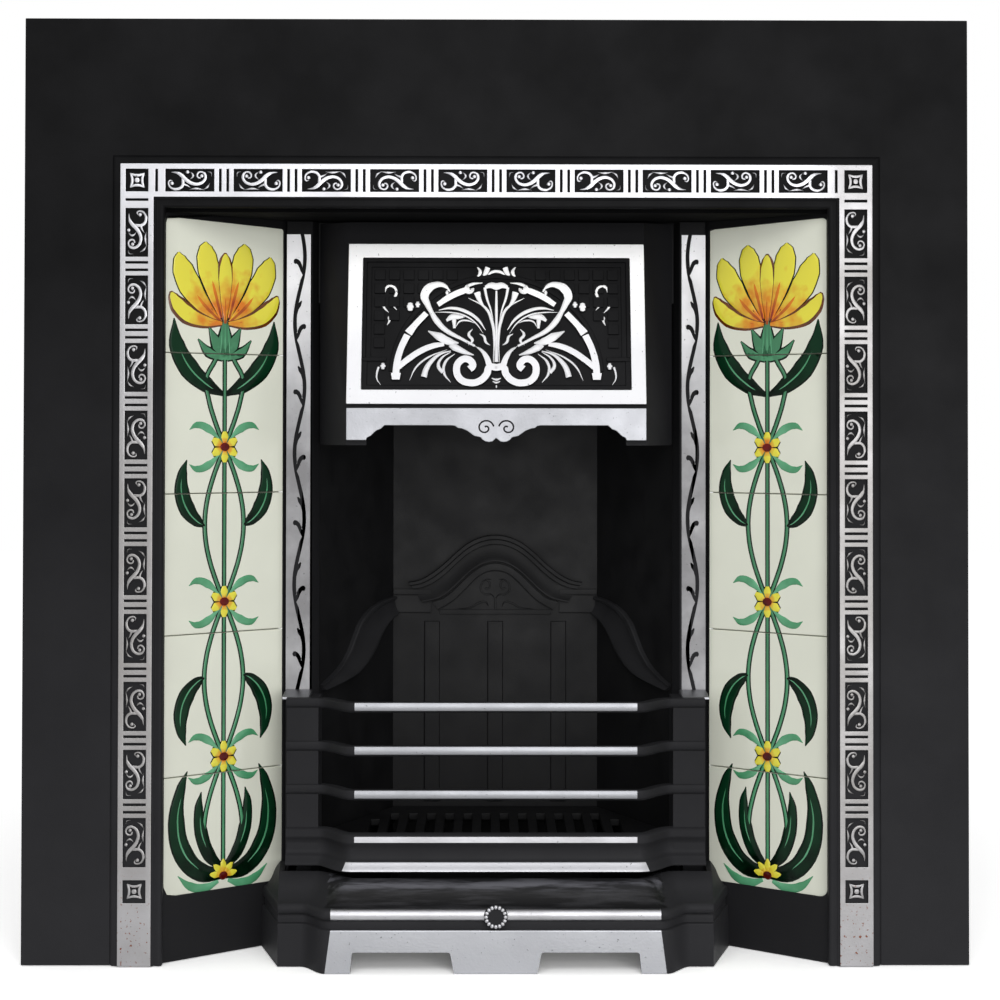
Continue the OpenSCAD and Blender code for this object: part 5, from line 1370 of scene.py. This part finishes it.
CHEEK_PROFILE = [(0, -0.4), (0, 4.6), (0.03, 5.6), (0.13, 5.6), (0.17, 4.4), (0.2, 2.8), (0.4, 3.0), (0.62, 4.6),
                 (0.78, 6.8), (0.86, 8.0), (0.93, 8.2), (0.97, 7.4), (1, 5.6), (1, -0.4)]
# a cheek's foot at the front, and the ways along it and out of it, across and back
CHEEK_FOOT, CHEEK_ALONG, CHEEK_OUT = Vector((-203.0, 118.3)), Vector((0.4525, 0.8918)), Vector((0.8918, -0.4525))


class FIREPLACE_OT_firebox(bpy.types.Operator):
    """Fireback, cheeks, throat plate and damper"""

    bl_idname = "fireplace.firebox"
    bl_label = "Firebox"

    def execute(self, context):
        recast("throat_plate", "throat_plate_casting", sooted_iron(), "surround", "black_iron", 1.2)
        self.fireback()
        for side, word in ((-1, "left"), (1, "right")):
            self.cheek(side, "cheek_" + word)
        recast("damper_flap", "damper_flap_casting", sooted_iron(), "damper", "black_iron", 0.8)
        return {"FINISHED"}

    def fireback(self):
        """Stepped bell moulding over a small arch with curls, and a string course on each side."""
        plain = soften("fireback", "fireback_casting", 1.2,
                       shape=planed(lambda p: p.y < BACK_Y - 0.3 and 343 < p.z < 450))

        def on_back(x, z, out):
            return x, BACK_Y - out, z
        parts = [plain,
                 band("bell", both_sides(BELL_OUTER), both_sides(BELL_INNER), BELL_PROFILE, on_back),
                 band("arch", both_sides(ARCH_OUTER), both_sides(ARCH_INNER), ARCH_PROFILE, on_back),
                 block("arch_foot", (-67, BACK_Y - 2.6, 349.5), (67, BACK_Y + 0.3, 355), 0.6)]
        for side in (-1, 1):
            ends = [(side * 123, 380), (side * 100, 380), (side * 78, 380)]
            parts.append(band("string", ends, [(x, 351.5) for x, _ in ends], STRING_PROFILE, on_back))
        curls = draw("curls", mirrored(CURLS) + [stroke([(0, 354), (0, 362), (0, 369.5)], 1.3, "even")], 1.8, steep=1.6)
        parts.append(lay(curls, seat((0, BACK_Y, 0))))
        seat_on(coat(join("fireback_casting", parts), sooted_iron()), "surround", "black_iron", "fireback")

    def cheek(self, side, node):
        """Splayed cheek with its S-shaped moulding."""
        def on_cheek(s, z, high):
            point = CHEEK_FOOT + CHEEK_ALONG * s + CHEEK_OUT * high
            return -side * point.x, point.y, z

        def proud(p):
            flat = Vector((-abs(p.x), p.y)) - CHEEK_FOOT
            return flat.dot(CHEEK_OUT) > 0.3 and 240 < p.z < 400 and 2 < flat.dot(CHEEK_ALONG) < 178
        plain = soften(node, node + "_casting", 1.2, shape=planed(proud))
        s_mould = band("s_moulding", CHEEK_UPPER, CHEEK_LOWER, CHEEK_PROFILE, on_cheek)
        # the S moulding takes the lighter copy, as painted light on what stands out
        parts = [coat(plain, sooted_iron()), coat(s_mould, sooted_iron("dusty"))]
        seat_on(join(node + "_casting", parts), "surround", "black_iron", node)


# ---------- fire front, grate and ash cover ----------

POST_IN, POST_OUT, POST_Y = 194.0, 229.0, 40.0
BAR_HALF, BAR_Y = 155.0, 5.0
BRIGHT_HALF = 152.0
BAR_TOPS = (279.4, 232.4, 185.3)
BAR_H, BAR_D = 11.0, 10.5
APRON_LOW = 99.0
APRON_FOOT, APRON_SLANT = 9, 0.45      # how much wider the foot strip is than the bars, and how its ends lean
# profiles as (behind the plan line, up): a bar from its top, the apron from its foot
BAR_PROFILE = [(3.0, 0), (0.8, -0.15), (0.1, -1.4), (-0.3, -4.4), (0.1, -7.4), (0.9, -8.7), (2.6, -10.3), (4.2, -BAR_H),
               (BAR_D, -BAR_H), (BAR_D, 0)]
APRON_PROFILE = [(8.0, 0), (-8.6, 0.6), (-9.0, 1.7), (-8.0, 3.3), (-6.3, 4.9), (-4.4, 6.9), (-2.6, 9.1), (-1.8, 10.3),
                 (0.8, 11.2), (2.6, 13.4), (3.4, 17), (3.3, 21), (2.6, 25), (0.4, 27.8), (-0.7, 29.8), (-0.9, 30.8),
                 (-0.8, 37.0), (0.2, 38.0), (1.6, 39.4), (8.0, 40.0)]
FOOT_STRIP, HEAD_STRIP = (1.3, 10.4), (30.9, 36.9)      # bright strips, up from the apron's foot
CAP_PROFILE = [(50, 277), (50, 279.2), (51, 280), (86, 283), (88.2, 283), (88.6, 281.6), (88.6, 277)]


def sweep(a, b, count):
    """Points between two plan points along an S curve, ends left out."""
    return [(a[0] + (b[0] - a[0]) * t, a[1] + (b[1] - a[1]) * (1 - math.cos(math.pi * t)) / 2)
            for t in [i / count for i in range(1, count)]]


def both_sides(left):
    """A line and its mirror image, from left to right."""
    return left + [(-x, y) for x, y in reversed(left) if x]


def inward(plan):
    """Unit normals of a plan line, towards the fire."""
    normals = []
    for i in range(len(plan)):
        a, b = plan[max(i - 1, 0)], plan[min(i + 1, len(plan) - 1)]
        d = Vector((b[0] - a[0], b[1] - a[1])).normalized()
        normals.append((-d.y, d.x))
    return normals


def moulding(name, plan, profile):
    """Runs a closed profile of (depth behind the plan line, height) along a plan line."""
    return loft(name, [[(x + n[0] * d, y + n[1] * d, z) for d, z in profile]
                       for (x, y), n in zip(plan, inward(plan))])


class FIREPLACE_OT_fire_front(bpy.types.Operator):
    """Posts, bars and stepped apron of the lift-off front"""

    bl_idname = "fireplace.fire_front"
    bl_label = "Fire front"

    def execute(self, context):
        plan = both_sides([(-POST_OUT, POST_Y), (-POST_IN - 6, POST_Y), (-POST_IN, POST_Y)]
                          + sweep((-POST_IN, POST_Y), (-BAR_HALF, BAR_Y), 14)
                          + [(-BAR_HALF, BAR_Y), (-BAR_HALF + 3, BAR_Y)])
        bars = [moulding("bar", plan, [(d, top + z) for d, z in BAR_PROFILE]) for top in BAR_TOPS]
        apron = moulding("apron", plan, [(d, APRON_LOW + z) for d, z in APRON_PROFILE])
        for side in (-1, 1):
            for part in (*bars, apron):
                score(part, (side * BRIGHT_HALF, 0, 0), (side, 0, 0))
            score(apron, (side * (BRIGHT_HALF + APRON_FOOT), 0, APRON_LOW + 10.3), (side, 0, APRON_SLANT))
        posts = []
        for side in (-1, 1):
            low, high = sorted((side * POST_IN, side * POST_OUT))
            posts.append(block("post", (low, POST_Y + 3, APRON_LOW), (high, 88, BAR_TOPS[0] - 1)))
        front = smooth(join("fire_front_casting", [*bars, apron, *posts]), 40)
        faces_take(front, [black_iron(), polished_iron("dulled"), polished_iron(), polished_iron("mirror")],
                   self.bright)
        seat_on(front, "fire_front", "black_iron", "fire_front")
        for side, word in ((-1, "left"), (1, "right")):
            cap = loft("post_cap_" + word, [[(side * x, y, z) for y, z in CAP_PROFILE] for x in (205, 234.6)])
            seat_on(coat(round_edges(cap, 0.5 * MM), polished_iron("satin")), "fire_front", "polished_iron")
        return {"FINISHED"}

    def bright(self, middle, normal):
        """0 for black, 1 for the bars, 2 and 3 for the strips at the apron's head and foot."""
        if normal.y > -0.25:
            return 0
        for top in BAR_TOPS:
            if top - BAR_H < middle.z < top:
                return int(abs(middle.x) < BRIGHT_HALF and normal.y < -0.8)
        up = middle.z - APRON_LOW
        if HEAD_STRIP[0] < up < HEAD_STRIP[1]:
            return 2 * int(abs(middle.x) < BRIGHT_HALF)
        half = BRIGHT_HALF + APRON_FOOT + APRON_SLANT * (10.3 - up)
        return 3 * int(FOOT_STRIP[0] < up < FOOT_STRIP[1] and abs(middle.x) < half)


class FIREPLACE_OT_grate(bpy.types.Operator):
    """Slotted bottom grate"""

    bl_idname = "fireplace.grate"
    bl_label = "Grate"

    def execute(self, context):
        recast("bottom_grate", "slotted_grate", sooted_iron(), "grate", "black_iron", 1.0)
        return {"FINISHED"}


PED_OUT, PED_Y = 233.0, -5.0
COVER_HALF, COVER_OUT, COVER_TOP_Y, COVER_H = 180.0, 33.0, 3.0, 92.0
RAIL_HALF = 174.6
FOOT_END, HEAD_END = (259.5, 78.8), (240.0, 90.1)
COVER_WALL = 6.0
# the fret's openings widen towards the hearth: from and to across, at the head and the foot, and the head's height
GAP_HEAD, GAP_FOOT, GAP_TOP = (48.4, 151.6), (41.6, 155.0), 22.2
FRET_TOP, FRET_IN, FRET_SLANT = 0.49, 5.4, 5.9      # its head as a share of the height, and how its ends slant
# back of the cover from hearth to head, as its face is given
COVER_BACK = [(0, 0.06), (0.48, 0.22), (0.7, 0.45), (0.86, 0.8), (0.99, 1.02)]
BEADS, BEAD_SIZE = 16, (2.3, 1.5, 1.95)             # round the knob, with half their sizes


class FIREPLACE_OT_ash_cover(bpy.types.Operator):
    """Draw-out cover in front of the ash pit, with its pedestals, rail, fret and knob"""

    bl_idname = "fireplace.ash_cover"
    bl_label = "Ash cover"

    def execute(self, context):
        foot = both_sides([(-FOOT_END[0], FOOT_END[1]), (-PED_OUT, PED_Y), (-POST_IN - 15, PED_Y)]
                          + sweep((-POST_IN - 15, PED_Y), (-COVER_HALF, -COVER_OUT), 12)
                          + [(-COVER_HALF, -COVER_OUT), (-RAIL_HALF, -COVER_OUT), (-RAIL_HALF + 3, -COVER_OUT)])
        head = both_sides([(-HEAD_END[0], HEAD_END[1]), (-POST_OUT - 7, POST_Y - 2), (-POST_IN, POST_Y - 2)]
                          + sweep((-POST_IN, POST_Y - 2), (-BAR_HALF + 3, COVER_TOP_Y), 12)
                          + [(-BAR_HALF + 3, COVER_TOP_Y), (-BAR_HALF + 6, COVER_TOP_Y), (-BAR_HALF + 9, COVER_TOP_Y)])
        rings = []
        for a, b, way in zip(foot, head, inward(foot)):
            a, b = Vector(a), Vector(b)
            points = [(a.lerp(b, share), up) for up, share in self.face()]
            points += [(a.lerp(b, share) + Vector(way) * COVER_WALL, up) for up, share in reversed(COVER_BACK)]
            rings.append([(p.x, p.y, up * COVER_H) for p, up in points])
        cover = loft("ash_cover_casting", rings)
        for side in (-1, 1):
            gap = []
            for (near, far), z in ((GAP_FOOT, -12), (GAP_HEAD, GAP_TOP)):
                gap.append([(side * x, y, z) for y, x in ((-50, far), (12, far), (12, near), (-50, near))])
            cut(cover, round_edges(loft("opening", gap), 2.4 * MM, 3))
            score(cover, (side * (COVER_HALF - FRET_IN), 0, FRET_TOP * COVER_H),
                  (side, 0, FRET_SLANT / (FRET_TOP * COVER_H)))
            score(cover, (side * RAIL_HALF, 0, 0), (side, 0, 0))
        smooth(cover, 34)
        faces_take(cover, [black_iron(), painted_sheen_iron(), polished_iron("satin"), polished_iron()], self.bright)
        seat_on(cover, "ash_cover", "black_iron", "ash_cover")
        recast("draw_knob", "draw_knob_ring", black_iron(), "ash_cover", "polished_iron", 0.5)
        self.beads()
        return {"FINISHED"}

    def beads(self):
        """The knob's face is ringed with beads, ground bright where a hand rubs them."""
        low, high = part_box("draw_knob")
        x, z = (low.x + high.x) / 2 / MM, (low.z + high.z) / 2 / MM
        radius = (high.x - low.x) / 2 / MM - 2.3
        bead = start_from("bead", bpy.ops.mesh.primitive_uv_sphere_add, segments=14, ring_count=8, radius=1)
        size = Matrix.Diagonal((*(part * MM for part in BEAD_SIZE), 1))
        places = []
        for k in range(BEADS):
            a = 2 * math.pi * k / BEADS
            middle = spot(x + radius * math.cos(a), front_of("draw_knob") + 0.3, z + radius * math.sin(a))
            places.append(Matrix.Translation(middle) @ Matrix.Rotation(-a, 4, "Y") @ size)
        ring = smooth(stamp("draw_knob_beads", bead, places), 60)
        seat_on(coat(ring, polished_iron()), "ash_cover", "polished_iron")

    def face(self):
        """Face of the cover from hearth to head, as (share of the height, share of the way from foot plan to head
        plan)."""
        half_round = [math.pi * (k / 8) for k in range(9)]
        rail = [(0.656 - 0.069 * math.cos(a), 0.19 - 0.155 * math.sin(a)) for a in half_round]
        ogee = [(0.728 + 0.272 * t, 0.24 + 0.76 * (t + 0.055 * math.sin(2 * math.pi * t)))
                for t in [k / 14 for k in range(1, 15)]]
        return [(0, 0.0), (0.474, 0.03), (0.488, 0.045), (0.496, 0.08), (0.498, 0.16), (0.52, 0.17), (0.555, 0.16),
                (0.583, 0.185)] + rail + [(0.7255, 0.2)] + ogee

    def bright(self, middle, normal):
        """0 for black, 1 for the ledge's upper faces with painted sheen, 2 for the satin fret, 3 for the buffed rail.
        """
        up = middle.z / COVER_H
        if up > 0.73 and abs(middle.x) < COVER_HALF and normal.z > 0.1:
            return 1
        if normal.y > -0.2:
            return 0
        slant = COVER_HALF - FRET_IN + FRET_SLANT * (1 - up / FRET_TOP)
        if up < 0.495 and abs(middle.x) < slant and middle.y < -COVER_OUT + 2.6:
            return 2
        return 3 * int(0.586 < up < 0.7252 and abs(middle.x) < RAIL_HALF)


class FIREPLACE_OT_ash_pan(bpy.types.Operator):
    """Ash pan and its bail handle"""

    bl_idname = "fireplace.ash_pan"
    bl_label = "Ash pan"

    def execute(self, context):
        # the pan is black as painted shade for the gap above the ash cover
        recast("ash_pan", "ash_pan_pressing", black_steel(), "ash_pan", "steel", 0.5)
        recast("ash_pan_handle", "ash_pan_bail", zinc_steel(), "pan_handle", "steel", 0.2)
        return {"FINISHED"}


class FIREPLACE_OT_fixings(bpy.types.Operator):
    """Backing boards, tile clamps, lugs, bolts, screws and the damper's pin"""

    bl_idname = "fireplace.fixings"
    bl_label = "Fixings"

    def execute(self, context):
        for node in ("tile_backing_left", "tile_backing_right"):
            finish_node(node, backing_board())
        for node in ("tile_clamps_left", "tile_clamps_right", "tile_clamp_screws", "hood_bolts", "firebox_bolts",
                     "damper_pin", "fixing_lugs_left", "fixing_lugs_right", "lug_bolts", "frame_bolts"):
            finish_node(node, zinc_steel())
        return {"FINISHED"}


class FIREPLACE_PT_panel(bpy.types.Panel):
    """Lists the steps that dress the fireplace"""

    bl_idname = "FIREPLACE_PT_panel"
    bl_label = "Fireplace"
    bl_space_type = "VIEW_3D"
    bl_region_type = "UI"
    bl_category = "Fireplace"

    def draw(self, context):
        layout = self.layout
        for step in STEPS:
            layout.operator(step.bl_idname)
        for group in (context.scene.fireplace_sizes, context.scene.fireplace_colours):
            for name in group.__annotations__:
                layout.prop(group, name)


STEPS = (FIREPLACE_OT_stage, FIREPLACE_OT_surround, FIREPLACE_OT_border_scrolls, FIREPLACE_OT_pilasters,
         FIREPLACE_OT_tiles, FIREPLACE_OT_hood, FIREPLACE_OT_firebox, FIREPLACE_OT_fire_front, FIREPLACE_OT_grate,
         FIREPLACE_OT_ash_cover, FIREPLACE_OT_ash_pan, FIREPLACE_OT_fixings)
CLASSES = (FireplaceColours, FireplaceSizes, *STEPS, FIREPLACE_PT_panel)


def register():
    for item in CLASSES:
        bpy.utils.register_class(item)
    bpy.types.Scene.fireplace_colours = bpy.props.PointerProperty(type=FireplaceColours)
    bpy.types.Scene.fireplace_sizes = bpy.props.PointerProperty(type=FireplaceSizes)


def unregister():
    del bpy.types.Scene.fireplace_sizes, bpy.types.Scene.fireplace_colours
    for item in reversed(CLASSES):
        bpy.utils.unregister_class(item)


def main():
    """Dresses the whole fireplace."""
    register()
    bpy.ops.fireplace.stage()
    bpy.ops.fireplace.surround()
    bpy.ops.fireplace.border_scrolls()
    bpy.ops.fireplace.pilasters()
    bpy.ops.fireplace.tiles()
    bpy.ops.fireplace.hood()
    bpy.ops.fireplace.firebox()
    bpy.ops.fireplace.fire_front()
    bpy.ops.fireplace.grate()
    bpy.ops.fireplace.ash_cover()
    bpy.ops.fireplace.ash_pan()
    bpy.ops.fireplace.fixings()


if __name__ == "__main__":
    main()
